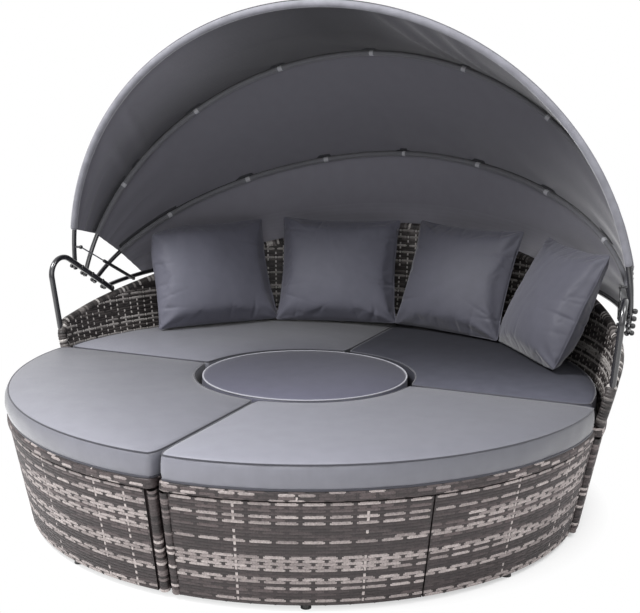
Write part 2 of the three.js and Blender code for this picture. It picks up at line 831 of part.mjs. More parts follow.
function buildSofa() {
  const unit = units.rear;
  const group = new THREE.Group();
  const [right, left] = skirtPanels(unit);
  group.add(
    named('rear_frame', frameGeometry(unit), blackSteel),
    named('rear_inner_wall', innerWallGeometry(unit), wicker),
    named('rear_skirt_right', right, wicker),
    named('rear_skirt_left', left, wicker),
    named('rear_rail', railGeometry(unit), wicker),
    named('rear_deck', deckGeometry(unit), blackSteel),
    named('backrest_wall', wallGeometry(), darkWicker),
    named('backrest_border', borderGeometry(), darkWicker),
  );
  const inner = tableRadius + tableGap;
  const right0 = cushionGeometry(unit, rearCushionRadius, inner, 0, quarter);
  const left0 = cushionGeometry(unit, rearCushionRadius, inner, quarter, quarter);
  group.add(
    named('rear_cushion_right', right0, cushionCloth),
    named('rear_cushion_left', left0, cushionCloth),
  );
  for (const place of pillowPlaces) {
    group.add(pillowMesh(place));
  }
  return group;
}

function buildCanopy() {
  const group = new THREE.Group();
  const bowNames = ['bow_front', 'bow_second', 'bow_third', 'bow_rear'];
  bowNames.forEach((name, i) => group.add(named(name, bowGeometry(i), blackSteel)));
  const clothNames = ['canopy_front_panel', 'canopy_middle_panel', 'canopy_rear_panel'];
  clothNames.forEach((name, i) => group.add(named(name, clothGeometry(i), canopyCloth)));
  for (const [word, side] of [['left', -1], ['right', 1]]) {
    group.add(
      named(`support_tube_${word}`, supportGeometry(side), blackSteel),
      named(`strut_cylinder_${word}`, strutCylinderGeometry(side), blackPlastic),
      named(`strut_rod_${word}`, strutRodGeometry(side), brightSteel),
    );
    for (let i = 0; i < bowNames.length; i += 1) {
      group.add(named(`pivot_bolt_${word}_${i + 1}`, boltGeometry(i, side), blackPlastic));
    }
  }
  return group;
}

// The origin stands on the floor under the middle of the whole daybed's plan.
const rearBow = bows[bows.length - 1];
const overRearBow = bowTubeRadius + clothOverBows[clothOverBows.length - 1] + clothThickness;
const rearReach = rearBow.y + (rearBow.height + overRearBow) * Math.cos(rearBow.angle);
const daybed = new THREE.Group();
daybed.position.y = (bedRadius - rearReach) / 2;
daybed.add(buildSofa(), buildTable(), buildCanopy());
daybed.add(buildOttoman(units.frontLeft), buildOttoman(units.frontRight));

export default daybed;
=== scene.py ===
import logging
import math
from dataclasses import dataclass, replace
from enum import Enum
from typing import Callable, Iterator, Sequence

import bmesh
import bpy
import numpy as np
from mathutils import Matrix, Vector
from mathutils.kdtree import KDTree


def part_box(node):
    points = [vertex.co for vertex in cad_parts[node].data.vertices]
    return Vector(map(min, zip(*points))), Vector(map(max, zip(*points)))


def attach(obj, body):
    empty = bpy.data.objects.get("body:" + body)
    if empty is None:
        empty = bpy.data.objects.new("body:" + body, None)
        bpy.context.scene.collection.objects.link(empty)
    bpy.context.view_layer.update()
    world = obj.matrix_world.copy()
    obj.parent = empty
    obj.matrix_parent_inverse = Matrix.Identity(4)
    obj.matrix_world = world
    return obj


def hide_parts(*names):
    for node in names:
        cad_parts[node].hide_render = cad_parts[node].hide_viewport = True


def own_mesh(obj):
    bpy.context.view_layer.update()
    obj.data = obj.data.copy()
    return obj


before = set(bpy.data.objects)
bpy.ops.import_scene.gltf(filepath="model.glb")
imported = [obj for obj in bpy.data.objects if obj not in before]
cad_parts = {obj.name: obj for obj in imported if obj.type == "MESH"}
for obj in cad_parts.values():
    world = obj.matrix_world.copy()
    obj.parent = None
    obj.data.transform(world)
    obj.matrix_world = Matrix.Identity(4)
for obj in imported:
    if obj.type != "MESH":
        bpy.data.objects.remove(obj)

log = logging.getLogger("daybed")

Array = np.ndarray
Number = Array | float
Mesh = bpy.types.Mesh
Socket = bpy.types.NodeSocket
Colour = tuple[float, float, float]
Profile = Sequence[tuple[float, float]]
Surface = Callable[[Array, Array], tuple[Array, Array]]

MM = 0.001
QUARTER = math.pi / 2
ROUND = 2 * math.pi
REAR = "rear_sofa"


def span_of(node: str, axis: int) -> tuple[float, float]:
    """Lowest and highest place of a CAD node along an axis."""
    low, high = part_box(node)
    return low[axis], high[axis]


CENTRE_Y: float = sum(span_of("table_rail", 1)) / 2
SKIRT_FOOT: float = span_of("rear_skirt_right", 2)[0]
SKIRT_TOP, DECK_TOP = span_of("rear_rail", 2)
CUSHION_BOTTOM: float = span_of("rear_cushion_left", 2)[0]
CENTRE = np.array([0, CENTRE_Y, 0])


def polar(radius: Number, turn: Number, height: Number) -> Array:
    """Points round the daybed's centre, for turns from +X in radians."""
    radius, turn, height = np.broadcast_arrays(radius, turn, height)
    return np.stack([radius * np.cos(turn), CENTRE_Y + radius * np.sin(turn), height], axis=-1).astype(float)


def smooth(share: Array) -> Array:
    """Eases shares from 0 to 1."""
    share = np.clip(share, 0, 1)
    return share * share * (3 - 2 * share)


def hill(value: Number, width: Number) -> Number:
    """A smooth hill of height 1 at zero."""
    return np.exp(-((value / width) ** 2))


def normalised(vectors: Array) -> Array:
    """The vectors at length one."""
    return vectors / np.linalg.norm(vectors, axis=-1, keepdims=True)


def beside(heading: Array) -> Array:
    """Level vectors to the right of a heading, at length one."""
    heading = normalised(heading)
    return np.stack([heading[..., 1], -heading[..., 0], np.zeros(heading.shape[:-1])], axis=-1)


def closed(points: Array) -> Array:
    """A loop of points with its first point again at the end."""
    return np.vstack([points, points[:1]])


def softened(loop: Array, times: int) -> Array:
    """Evens out a closed loop of points.

    Args:
        loop: the points, without the first one again.
        times: how often it is evened.

    Returns:
        The softened loop.
    """
    for _ in range(times):
        loop = (np.roll(loop, 1, axis=0) + 2 * loop + np.roll(loop, -1, axis=0)) / 4
    return loop


def cut(count: int, shares: Sequence[float]) -> Array:
    """Places from 0 to a count, with the same shares in each step."""
    return np.append((np.arange(count)[:, None] + np.array(shares)).ravel(), count)


def rings(first: Array, second: Array, sides: int) -> Array:
    """Rings of points in the planes of pairs of vectors."""
    turn = np.linspace(0, ROUND, sides, endpoint=False)[None, :, None]
    return np.cos(turn) * first[:, None] + np.sin(turn) * second[:, None]


class Nodes:
    """Short way to a node tree."""

    def __init__(self, tree: bpy.types.NodeTree) -> None:
        """Works on the tree."""
        self.tree = tree

    def join(self, value: object, target: Socket) -> None:
        """Gives an input a value, or joins another node's output to it.

        Args:
            value: the value or output.
            target: the input.
        """
        if isinstance(value, Socket):
            self.tree.links.new(value, target)
        else:
            target.default_value = value

    def fill(self, node: bpy.types.Node, values: dict[str, object]) -> None:
        """Sets attributes or inputs of a node.

        Args:
            node: the node.
            values: values or outputs by name, with _ for a space.
        """
        for key, value in values.items():
            if hasattr(node, key):
                setattr(node, key, value)
            else:
                self.join(value, node.inputs[key.replace("_", " ")])

    def node(self, kind: str, *inputs: object, **values: object) -> bpy.types.Node:
        """Adds a node.

        Args:
            kind: Blender's node type, after its first word.
            inputs: values or outputs for the first inputs.
            values: attributes, values or outputs by name.

        Returns:
            The node.
        """
        made = self.tree.nodes.new(f"ShaderNode{kind}")
        self.fill(made, values)
        for value, target in zip(inputs, made.inputs):
            self.join(value, target)
        return made


class Shader(Nodes):
    """A Principled material."""

    def __init__(self, name: str) -> None:
        """Starts the material.

        Args:
            name: the material's name.
        """
        self.material = bpy.data.materials.new(name)
        self.material.use_nodes = True
        super().__init__(self.material.node_tree)
        self.principled = self.tree.nodes["Principled BSDF"]

    def ramp(self, source: Socket, stops: Sequence[tuple[float, Colour]]) -> Socket:
        """Colours a value.

        Args:
            source: the value.
            stops: place and colour of each stop.

        Returns:
            The colour.
        """
        made = self.node("ValToRGB", Fac=source)
        elements = made.color_ramp.elements
        while len(elements) < len(stops):
            elements.new(0.5)
        for element, (place, colour) in zip(elements, stops):
            element.position = place
            element.color = (*colour, 1)
        return made.outputs["Color"]

    def multiplied(self, first: Socket, second: Socket) -> Socket:
        """Product of two colours."""
        mix = self.node("Mix", data_type="RGBA", blend_type="MULTIPLY", Factor=1.0, A=first, B=second)
        return mix.outputs["Result"]

    def tone(self) -> Socket:
        """The tone that each face carries."""
        return self.node("Attribute", attribute_name="tone").outputs["Fac"]

    def noise(self, scale: float, detail: float) -> Socket:
        """Noise on the piece's own coordinates."""
        place = self.node("TexCoord").outputs["Object"]
        return self.node("TexNoise", Scale=scale, Detail=detail, Vector=place).outputs["Fac"]

    def finish(self, colour: Socket, relief: tuple[float, float, float], **values: object) -> bpy.types.Material:
        """Joins everything to the material.

        Args:
            colour: its base colour.
            relief: scale, strength and height of its fine relief.
            values: inputs of the Principled node.

        Returns:
            The material.
        """
        scale, strength, height = relief
        bump = self.node("Bump", Strength=strength, Distance=height, Height=self.noise(scale, 2))
        self.fill(self.principled, values | {"Base_Color": colour, "Normal": bump.outputs["Normal"]})
        return self.material


@dataclass(frozen=True)
class ResinFinish:
    """Flat resin strand whose tone is set strand by strand."""

    name: str
    tones: tuple[Colour, Colour, Colour, Colour]
    places: tuple[float, ...] = (0, 0.3, 0.55, 1)
    streaks: tuple[tuple[float, Colour], ...] = ((0.28, (0.62, 0.61, 0.6)), (0.7, (1.25, 1.24, 1.22)))
    roughness: float = 0.55
    specular: float = 0.42

    def build(self) -> bpy.types.Material:
        """Makes the material.

        Returns:
            The material.
        """
        shader = Shader(self.name)
        colour = shader.ramp(shader.tone(), list(zip(self.places, self.tones)))
        colour = shader.multiplied(colour, shader.ramp(shader.noise(210, 3), self.streaks))
        values = {"Roughness": self.roughness, "Specular_IOR_Level": self.specular}
        return shader.finish(colour, (900, 0.25, 0.0004), **values)


@dataclass(frozen=True)
class ClothFinish:
    """Plain woven polyester with a soft sheen."""

    name: str
    colour: Colour
    mottle: float = 0.1
    roughness: float = 0.86
    sheen: float = 0.25
    specular: float = 0.3
    # The first flag paints light and shade from each face's tone onto the base colour; the second onto the sheen
    # as well.
    painted_light: bool = False
    painted_light_sheen: bool = False

    def build(self) -> bpy.types.Material:
        """Makes the material.

        Returns:
            The material.
        """
        shader = Shader(self.name)
        low, high = (tuple(c * (1 + k * self.mottle) for c in self.colour) for k in (-1, 1))
        colour = shader.ramp(shader.noise(26, 4), [(0.3, low), (0.7, high)])
        # The face tone read here is painted light and shade.
        tone = shader.tone() if self.painted_light else None
        if self.painted_light:
            colour = shader.multiplied(colour, tone)
        sheen = self.sheen
        if self.painted_light_sheen:
            sheen = shader.node("Math", tone, self.sheen, operation="MULTIPLY").outputs["Value"]
        values = {"Roughness": self.roughness, "Sheen_Weight": sheen, "Sheen_Roughness": 0.4}
        return shader.finish(colour, (1500, 0.35, 0.0005), **values, Specular_IOR_Level=self.specular)


@dataclass(frozen=True)
class HardFinish:
    """Painted or bare metal, or moulded plastic."""

    name: str
    colour: Colour
    roughness: float
    metallic: float = 0.0
    coat: float = 0.0
    texture: float = 0.08

    def build(self) -> bpy.types.Material:
        """Makes the material.

        Returns:
            The material.
        """
        shader = Shader(self.name)
        low, high = (tuple(min(1.0, c * k) for c in self.colour) for k in (0.85, 1.15))
        colour = shader.ramp(shader.noise(60, 4), [(0.35, low), (0.65, high)])
        values = {"Roughness": self.roughness, "Metallic": self.metallic, "Coat_Weight": self.coat}
        return shader.finish(colour, (1400, self.texture, 0.0002), **values, Coat_Roughness=0.12)


class Slot(Enum):
    """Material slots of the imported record."""

    FRAME = "frame_steel"
    RESIN = "woven_resin"
    DARK_RESIN = "woven_resin_dark"
    SEAT = "seat_cloth"
    PILLOW = "pillow_cloth"
    STEEL = "canopy_steel"
    CANOPY = "canopy_cloth"
    PLASTIC = "black_plastic"
    BRIGHT = "bright_steel"


WOVEN = ((0.007, 0.005, 0.005), (0.031, 0.023, 0.024), (0.080, 0.062, 0.063), (0.43, 0.385, 0.378))
WOVEN_DARK = ((0.004, 0.0035, 0.0035), (0.022, 0.018, 0.018), (0.085, 0.076, 0.074), (0.42, 0.40, 0.39))


class Wear(Enum):
    """What a piece wears: its finish, and the record's slot that it stands for."""

    RESIN = ResinFinish("woven resin", WOVEN), Slot.RESIN
    DARK_RESIN = ResinFinish("woven resin of the back", WOVEN_DARK), Slot.DARK_RESIN
    # The seat, pillow and canopy cloths take painted light and shade from each face's tone. The rear and centre
    # seat cloths are darker copies of the seat cloth, as painted shade.
    SEAT = ClothFinish("seat cloth", (0.150, 0.151, 0.177), 0.05, 0.45, specular=0.5, painted_light=True), Slot.SEAT
    REAR_SEAT = ClothFinish("rear seat cloth", (0.112, 0.113, 0.134), 0.05, 0.45, 0.25, 0.5, True), Slot.SEAT
    SHADED_SEAT = (
        ClothFinish("rear seat cloth painted shade", (0.060, 0.061, 0.078), 0.1, 0.6, 0.02, 0.15, True),
        Slot.SEAT,
    )
    TABLE_SEAT = ClothFinish("centre seat cloth", (0.070, 0.070, 0.096), 0.05, 0.45, 0.12, 0.5, True), Slot.SEAT
    # The piping cloth is darker than the covers; its dark paints the shadow along the seams.
    SHADOWED_PIPING = ClothFinish("cushion piping", (0.045, 0.045, 0.055), 0.05), Slot.SEAT
    LIGHT_PIPING = ClothFinish("centre cushion piping", (0.27, 0.27, 0.30), 0.05), Slot.SEAT
    PILLOW = ClothFinish("pillow cloth", (0.081, 0.081, 0.103), 0.05, 0.6, 0.25, 0.25, True), Slot.PILLOW
    # The hem cloth is a lighter copy of the canopy cloth: painted light on the canopy's front rim.
    LIT_HEM = ClothFinish("hem cloth", (0.155, 0.155, 0.176), 0.16, 0.7, 0.6), Slot.CANOPY
    # The canopy cloth takes painted light and shade from the tone of its inside faces, on colour and sheen.
    CANOPY = ClothFinish("canopy cloth", (0.101, 0.099, 0.116), 0.03, 0.7, 0.5, 0.3, True, True), Slot.CANOPY
    SLEEVE = ClothFinish("bow sleeve cloth", (0.100, 0.100, 0.110), 0.04), Slot.CANOPY
    # A dark strip along the middle bows: a sewn seam, widened and darkened to paint the shadow beside each bow.
    SEAM_SHADOW = ClothFinish("seam and painted shadow", (0.022, 0.022, 0.026), 0.04), Slot.CANOPY
    STRAP = ClothFinish("strap cloth", (0.30, 0.30, 0.32), 0.05), Slot.CANOPY
    STEEL = HardFinish("gloss black coat", (0.009, 0.009, 0.011), 0.24, coat=0.7, texture=0.03), Slot.STEEL
    FRAME = HardFinish("matt black coat", (0.018, 0.018, 0.019), 0.5), Slot.FRAME
    PLASTIC = HardFinish("black plastic", (0.014, 0.014, 0.015), 0.42, texture=0.15), Slot.PLASTIC
    BRIGHT = HardFinish("ground steel", (0.55, 0.56, 0.58), 0.18, metallic=1.0, texture=0.02), Slot.BRIGHT

    @property
    def material(self) -> bpy.types.Material:
        """The finish's material, made once."""
        return bpy.data.materials.get(self.value[0].name) or self.value[0].build()

    @property
    def slot(self) -> str:
        """Name of the slot."""
        return self.value[1].value


def shown(mesh: Mesh, wear: Wear, body: str, *nodes: str) -> bpy.types.Object:
    """Puts a mesh in the scene as a piece of the daybed, under the mesh's name.

    Args:
        mesh: the piece's mesh, in the daybed's frame.
        wear: its finish and slot.
        body: the CAD body it rides on.
        nodes: CAD nodes that it stands for.

    Returns:
        The piece.
    """
    piece = bpy.data.objects.new(mesh.name, mesh)
    bpy.context.scene.collection.objects.link(piece)
    mesh.materials.append(wear.material)
    mesh.shade_smooth()
    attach(piece, body)
    if nodes:
        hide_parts(*nodes)
    log.info("built %s on %s", piece.name, body)
    return piece


def spots_of(verts: Sequence[bmesh.types.BMVert]) -> Array:
    """Where vertices are, one per row."""
    return np.array([v.co for v in verts])


def put(verts: Sequence[bmesh.types.BMVert], spots: Array) -> None:
    """Moves vertices to spots."""
    for vert, spot in zip(verts, spots):
        vert.co = spot


def welded(body: bmesh.types.BMesh, gap: float) -> bmesh.types.BMesh:
    """Joins a body's parts where they meet, and turns its faces outwards.

    Args:
        body: the body.
        gap: points closer than this are joined.

    Returns:
        The body.
    """
    bmesh.ops.remove_doubles(body, verts=body.verts, dist=gap)
    bmesh.ops.recalc_face_normals(body, faces=body.faces)
    return body


def finished(body: bmesh.types.BMesh, name: str) -> Mesh:
    """Turns a body into a mesh.

    Args:
        body: the body, which is freed.
        name: the mesh's name.

    Returns:
        The mesh.
    """
    mesh = bpy.data.meshes.new(name)
    body.to_mesh(mesh)
    body.free()
    return mesh


def turned(outline: Sequence[Sequence[float]], axis: Sequence[float], steps: int, gap: float) -> bmesh.types.BMesh:
    """A turned body.

    Args:
        outline: points from one end on the axis to the other.
        axis: the axis, through the origin.
        steps: facets round it.
        gap: points closer than this are joined.

    Returns:
        The body.
    """
    body = bmesh.new()
    verts = [body.verts.new(point) for point in outline]
    geom = verts + [body.edges.new(pair) for pair in zip(verts, verts[1:])]
    bmesh.ops.spin(body, geom=geom, axis=axis, cent=(0, 0, 0), angle=ROUND, steps=steps, use_merge=True)
    return welded(body, gap)


def face_out(mesh: Mesh) -> None:
    """Drops a mesh's loose points and turns its faces outwards.

    Args:
        mesh: the mesh.
    """
    body = bmesh.new()
    body.from_mesh(mesh)
    bmesh.ops.delete(body, geom=[v for v in body.verts if not v.link_faces], context="VERTS")
    if all(edge.is_manifold for edge in body.edges) and body.calc_volume(signed=True) < 0:
        bmesh.ops.reverse_faces(body, faces=body.faces)
    body.to_mesh(mesh)
    body.free()


def set_tones(mesh: Mesh, tones: Array) -> None:
    """Writes the tone of each face, which the finishes read."""
    mesh.attributes.new("tone", "FLOAT", "FACE").data.foreach_set("value", tones.astype(np.float32))


def grid_mesh(
    name: str,
    points: Array,
    closed_along: bool = False,
    closed_round: bool = True,
    tones: Array | None = None,
    capped: bool = False,
    keep: Array | None = None,
) -> Mesh:
    """A mesh of four-sided faces over a grid of points.

    Args:
        name: the mesh's name.
        points: array of columns by rows by 3.
        closed_along: the last column joins the first.
        closed_round: the last row joins the first.
        tones: one tone per face, columns by rows.
        capped: close the two ends of a tube with a face each.
        keep: which faces are made, columns by rows.

    Returns:
        The mesh.
    """
    columns, rows = points.shape[:2]
    across = columns if closed_along else columns - 1
    up = rows if closed_round else rows - 1
    i, j = np.meshgrid(np.arange(across), np.arange(up), indexing="ij")
    i1, j1 = (i + 1) % columns, (j + 1) % rows
    faces = np.stack([i * rows + j, i1 * rows + j, i1 * rows + j1, i * rows + j1], axis=-1)
    made = np.ones((across, up), bool) if keep is None else keep[:across, :up]
    polygons = faces[made].tolist()
    if capped:
        polygons += [list(range(rows))[::-1], [(columns - 1) * rows + k for k in range(rows)]]
    mesh = bpy.data.meshes.new(name)
    mesh.from_pydata(points.reshape(-1, 3).tolist(), [], polygons)
    if tones is not None:
        full = np.full(len(polygons), 0.2)
        full[: made.sum()] = tones[:across, :up][made]
        set_tones(mesh, full)
    mesh.update()
    face_out(mesh)
    return mesh


@dataclass(frozen=True)
class Weave:
    """Flat strands that run over every second stake, in staggered rows."""

    pitch: float = 8.8 * MM
    stake: float = 33.5 * MM
    relief: float = 2.6 * MM
    dip: float = 9 * MM
    stake_half: float = 3.4 * MM
    gap: float = 10.5 * MM
    # Factor of painted shadow on light strand ends where they run under a stake.
    end_shadow: float = 0.14
    light_share: float = 0.07
    middle_share: float = 0.26
    stake_share: float = 0.16
    light_rows: tuple[int, ...] = (1, 7, 8, 11, 12, 13, 14, 15, 20, 21, 28, 32)
    period: int = 33
    block: int = 9
    seed: int = 7

    ROW_SHARES = (0.0, 0.18, 0.82)
    STAKE_SHARES = (0.0, 0.1, 0.16, 0.3, 0.7, 0.84, 0.9)
    STAKE_LIFT = 0.55
    LIGHT_ROW = 0.93
    LIGHT, MIDDLE, DARK, SPREAD = 0.79, 0.46, 0.28, 0.2
    BRIGHT_STAKE, DULL_STAKE, STAKE_SHOWS = 0.95, 0.22, 0.85
    LIGHT_FROM, DARK_PINCH = 0.6, 0.5

    def rows(self, height: float) -> tuple[Array, float]:
        """Heights at which strands are sampled, and the pitch that fits the height."""
        count = max(1, round(height / self.pitch))
        return cut(count, self.ROW_SHARES) * height / count, height / count

    def columns(self, length: float) -> tuple[Array, float]:
        """Places at which strands are sampled, and the stake distance that fits the length."""
        count = max(2, 2 * round(length / self.stake / 2))
        return cut(count, self.STAKE_SHARES) * length / count, length / count

    def under(self, cycle: Array, stake: float) -> Array:
        """How far places are from the stakes that the strand runs under."""
        place = np.mod(cycle, 2 * stake)
        return np.minimum(place, 2 * stake - place)

    def lift(self, along: Array, up: Array, stake: float, pitch: float) -> Array:
        """How far the woven face stands out.

        Args:
            along: places along the face.
            up: heights on the face.
            stake: distance between stakes.
            pitch: height of a strand row.

        Returns:
            The lift at each point.
        """
        row = np.floor(up / pitch + 1e-6)
        share = np.clip(up / pitch - row, 0, 1)
        under = self.under(along + row * stake, stake)
        strand = (1 - np.abs(2 * share - 1) ** 3) * smooth(under / self.dip)
        upright = self.STAKE_LIFT * np.clip(1 - (under / self.stake_half) ** 2, 0, 1)
        return self.relief * np.maximum(strand, upright)

    def tone(self, along: Array, up: Array, stake: float, pitch: float) -> Array:
        """Tones of the faces between sampled places.

        Args:
            along: the places along the face.
            up: the heights.
            stake: distance between stakes.
            pitch: height of a strand row.

        Returns:
            The tones, from 0 for the darkest to 1 for the lightest.
        """
        along, up = np.meshgrid(*((edge[1:] + edge[:-1]) / 2 for edge in (along, up)), indexing="ij")
        rng = np.random.default_rng(self.seed)
        row = np.floor(up / pitch).astype(int)
        share = up / pitch - row
        cycle = along + row * stake
        run = np.floor(cycle / (2 * stake)).astype(int)
        under = self.under(cycle, stake)
        last_row, last_run = row.max() + 2, run.max() + 2
        light = np.full((last_row, 1), self.light_share)
        light[np.isin(np.arange(last_row) % self.period, self.light_rows)] = self.LIGHT_ROW
        draw = rng.random((last_row, 2 + last_run // self.block))
        others = np.where(draw < light + self.middle_share * (1 - light), self.MIDDLE, self.DARK)
        kinds = np.where(draw < light, self.LIGHT, others)
        offset = rng.integers(0, self.block, size=last_row)
        block = (run + offset[row]) // self.block
        tone = kinds[row, block] + (rng.random((last_row, last_run))[row, run] - 0.5) * self.SPREAD
        column = np.round(along / stake).astype(int)
        last_column = column.max() + 2
        bright = rng.random(last_column) < self.stake_share
        shows = rng.random((last_column, last_row)) < self.STAKE_SHOWS
        stakes = np.where(bright[column] & shows[column, row], self.BRIGHT_STAKE, self.DULL_STAKE)
        tone = np.where(under < self.stake_half, stakes, tone)
        # Painted shadow where strands run under the stakes: their ends are darkened, over a longer reach on the
        # row edges.
        rim = (share < self.ROW_SHARES[1]) | (share > self.ROW_SHARES[2])
        ends = (under > self.stake_half * 0.85) & (under < np.where(rim, self.gap, self.gap / 2))
        tone = np.where(ends, tone * np.where(tone > self.LIGHT_FROM, self.end_shadow, self.DARK_PINCH), tone)
        return np.clip(tone, 0, 1)


class Path:
    """A smooth middle line through closely spaced points."""

    def __init__(self, points: Array) -> None:
        """Measures the line.

        Args:
            points: points on the line, one per row.
        """
        self.points = np.asarray(points, float)
        steps = np.linalg.norm(np.diff(self.points, axis=0), axis=1)
        self.run = np.concatenate([[0], np.cumsum(steps)])
        self.length = float(self.run[-1])

    def at(self, shares: Array) -> Array:
        """Points at shares of the line's length."""
        place = np.asarray(shares) * self.length
        return np.stack([np.interp(place, self.run, self.points[:, k]) for k in range(3)], axis=-1)

    def even(self, count: int) -> "Path":
        """The same line through evenly spaced points."""
        return Path(self.at(np.linspace(0, 1, count)))

    def tube(self, shares: Array, radius: Number, sides: int) -> Array:
        """Rings of points round the line.

        Args:
            shares: where the rings are.
            radius: radius of each ring, or one for all.
            sides: points per ring.

        Returns:
            Array of rings by sides by 3.
        """
        middle, reach = self.at(shares), 0.004
        heading = normalised(self.at(np.clip(shares + reach, 0, 1)) - self.at(np.clip(shares - reach, 0, 1)))
        normals = [normalised(np.cross(heading[0], [0.3, 0.2, 0.93]))]
        for a in heading[1:]:
            normals.append(normalised(normals[-1] - a * (normals[-1] @ a)))
        size = np.broadcast_to(np.asarray(radius, float), middle.shape[:1])
        ring = rings(np.array(normals), np.cross(heading, np.array(normals)), sides)
        return middle[:, None, :] + ring * size[:, None, None]

    def mesh(self, name: str, radius: float, steps: int, sides: int = 20) -> Mesh:
        """A plain round tube along the line, with eased ends.

        Args:
            name: the mesh's name.
            radius: the tube's radius.
            steps: rings along it.
            sides: points per ring.

        Returns:
            The mesh.
        """
        ease = min(0.25, radius * 0.35 / self.length)
        shares = np.sort(np.concatenate([[0, ease], np.linspace(0, 1, steps)[1:-1], [1 - ease, 1]]))
        sizes = np.full(len(shares), radius)
        sizes[[0, -1]] = radius * 0.72
        return grid_mesh(name, self.tube(shares, sizes, sides), capped=True)


@dataclass(frozen=True)
class Wrap:
    """Strand wound closely round a post or border."""

    pitch: float = 8.0 * MM
    relief: float = 1.5 * MM
    seed: int = 3
    sides: int = 14
    light_share: float = 0.14

    ROW_SHARES = (0.0, 0.16, 0.5, 0.84)
    TONES = (0.12, 0.35, 0.6, 0.95)
    ODDS = (0.35, 0.42, 0.23)

    def mesh(self, name: str, path: Path, radius: float) -> Mesh:
        """A wound tube along a path.

        Args:
            name: the mesh's name.
            path: the tube's middle line.
            radius: its largest radius.

        Returns:
            The mesh.
        """
        count = max(1, round(path.length / self.pitch))
        shares = cut(count, self.ROW_SHARES)
        lift = self.relief * (1 - np.abs(2 * (shares - np.floor(shares)) - 1) ** 3)
        points = path.tube(shares / count, radius - self.relief + lift, self.sides)
        rng = np.random.default_rng(self.seed)
        odds = [*(np.array(self.ODDS) * (1 - self.light_share)), self.light_share]
        tones = rng.choice(self.TONES, size=count + 1, p=odds)
        face = np.floor((shares[:-1] + shares[1:]) / 2).astype(int)
        tone = np.repeat(tones[face][:, None], self.sides, axis=1)
        tone = np.clip(tone + (rng.random(tone.shape) - 0.5) * 0.06, 0, 1)
        return grid_mesh(name, points, tones=tone, capped=True)


def piping(name: str, points: Array, radius: float, wear: Wear, body: str) -> None:
    """A closed cord of piping.

    Args:
        name: the piece's name.
        points: its middle line, without the first point again.
        radius: its radius.
        wear: its finish and slot.
        body: the body it rides on.
    """
    heading = normalised(np.roll(points, -1, axis=0) - np.roll(points, 1, axis=0))
    side = normalised(np.cross(heading, [0.0, 0.0, 1.0]))
    cord = points[:, None, :] + radius * rings(side, np.cross(side, heading), 8)
    shown(grid_mesh(name, cord, closed_along=True), wear, body)


def woven_mesh(
    name: str,
    surface: Surface,
    size: tuple[float, float],
    weave: Weave,
    thickness: float = 0,
    crown: Callable[[Array], Array] | None = None,
) -> Mesh:
    """A woven wall with a plain back.

    Args:
        name: the mesh's name.
        surface: gives points and outward normals for places along and heights.
        size: length and height of the face.
        weave: the pattern.
        thickness: of the wall, or zero for a face with no back.
        crown: height of the wall's top at places along, if it isn't level.

    Returns:
        The mesh.
    """
    along, stake = weave.columns(size[0])
    up, pitch = weave.rows(size[1])
    u, v = np.meshgrid(along, up, indexing="ij")
    top = crown(along) if crown else np.full_like(along, size[1])
    base, normal = surface(u, np.minimum(v, top[:, None]))
    points = base + normal * (weave.lift(u, v, stake, pitch) - weave.relief)[..., None]
    tones = weave.tone(along, up, stake, pitch)
    if not thickness:
        keep = v[:-1, :-1] < np.maximum(top[:-1], top[1:])[:, None] - 1e-6
        return grid_mesh(name, points, closed_round=False, tones=tones, keep=keep)
    back, back_normal = surface(np.repeat(along[:, None], 2, axis=1), np.stack([top, np.zeros_like(top)], axis=1))
    whole = np.concatenate([points, back - back_normal * thickness], axis=1)
    dull = np.full((tones.shape[0], 3), 0.15)
    return grid_mesh(name, whole, tones=np.concatenate([tones, dull], axis=1), capped=True)


@dataclass(frozen=True)
class Unit:
    """Plan of one unit: a ring sector between two turns, or the whole round table."""

    name: str
    body: str
    start: float
    sweep: float
    foot: float
    flare: float
    inner: float
    seam: float = 4 * MM
    skin: float = 12 * MM
    rail_width: float = 26 * MM

    @property
    def outer(self) -> float:
        """Outer radius of the rail.

        Returns:
            The radius.
        """
        if self.inner:
            return self.foot + self.flare * ((SKIRT_TOP + DECK_TOP) / 2 - SKIRT_FOOT) + 2 * MM
        low, high = span_of(f"{self.name}_rail", 0)
        return (high - low) / 2

    def skirt_radius(self, height: Number) -> Number:
        """Radius of the skirt's face at a height above the floor."""
        return self.foot + self.flare * (height - SKIRT_FOOT)

    def outline(self, inset: float, fillet: float, step: float = 5 * MM) -> Array:
        """Closed plan outline with rounded corners.

        Args:
            inset: how far in from the unit's edge.
            fillet: radius of its corners.
            step: distance between points.

        Returns:
            Points in plan, one per row, anticlockwise.
        """
        outer = self.outer - inset
        if not self.inner:
            turn = np.linspace(0, ROUND, round(ROUND * outer / step), endpoint=False)
            return polar(outer, turn, 0)
        inner, side = self.inner + inset, self.seam + inset
        arcs = []
        for radius, ends in ((outer, (0, 1)), (inner, (1, 0))):
            turns = [self.start + k * self.sweep + (1 - 2 * k) * math.asin(side / radius) for k in ends]
            arcs.append(polar(radius, np.linspace(*turns, round(radius * self.sweep / step)), 0))
        line = Path(closed(np.concatenate(arcs)))
        even = line.at(np.linspace(0, 1, round(line.length / step), endpoint=False))
        return softened(even, max(1, round(fillet / step)))


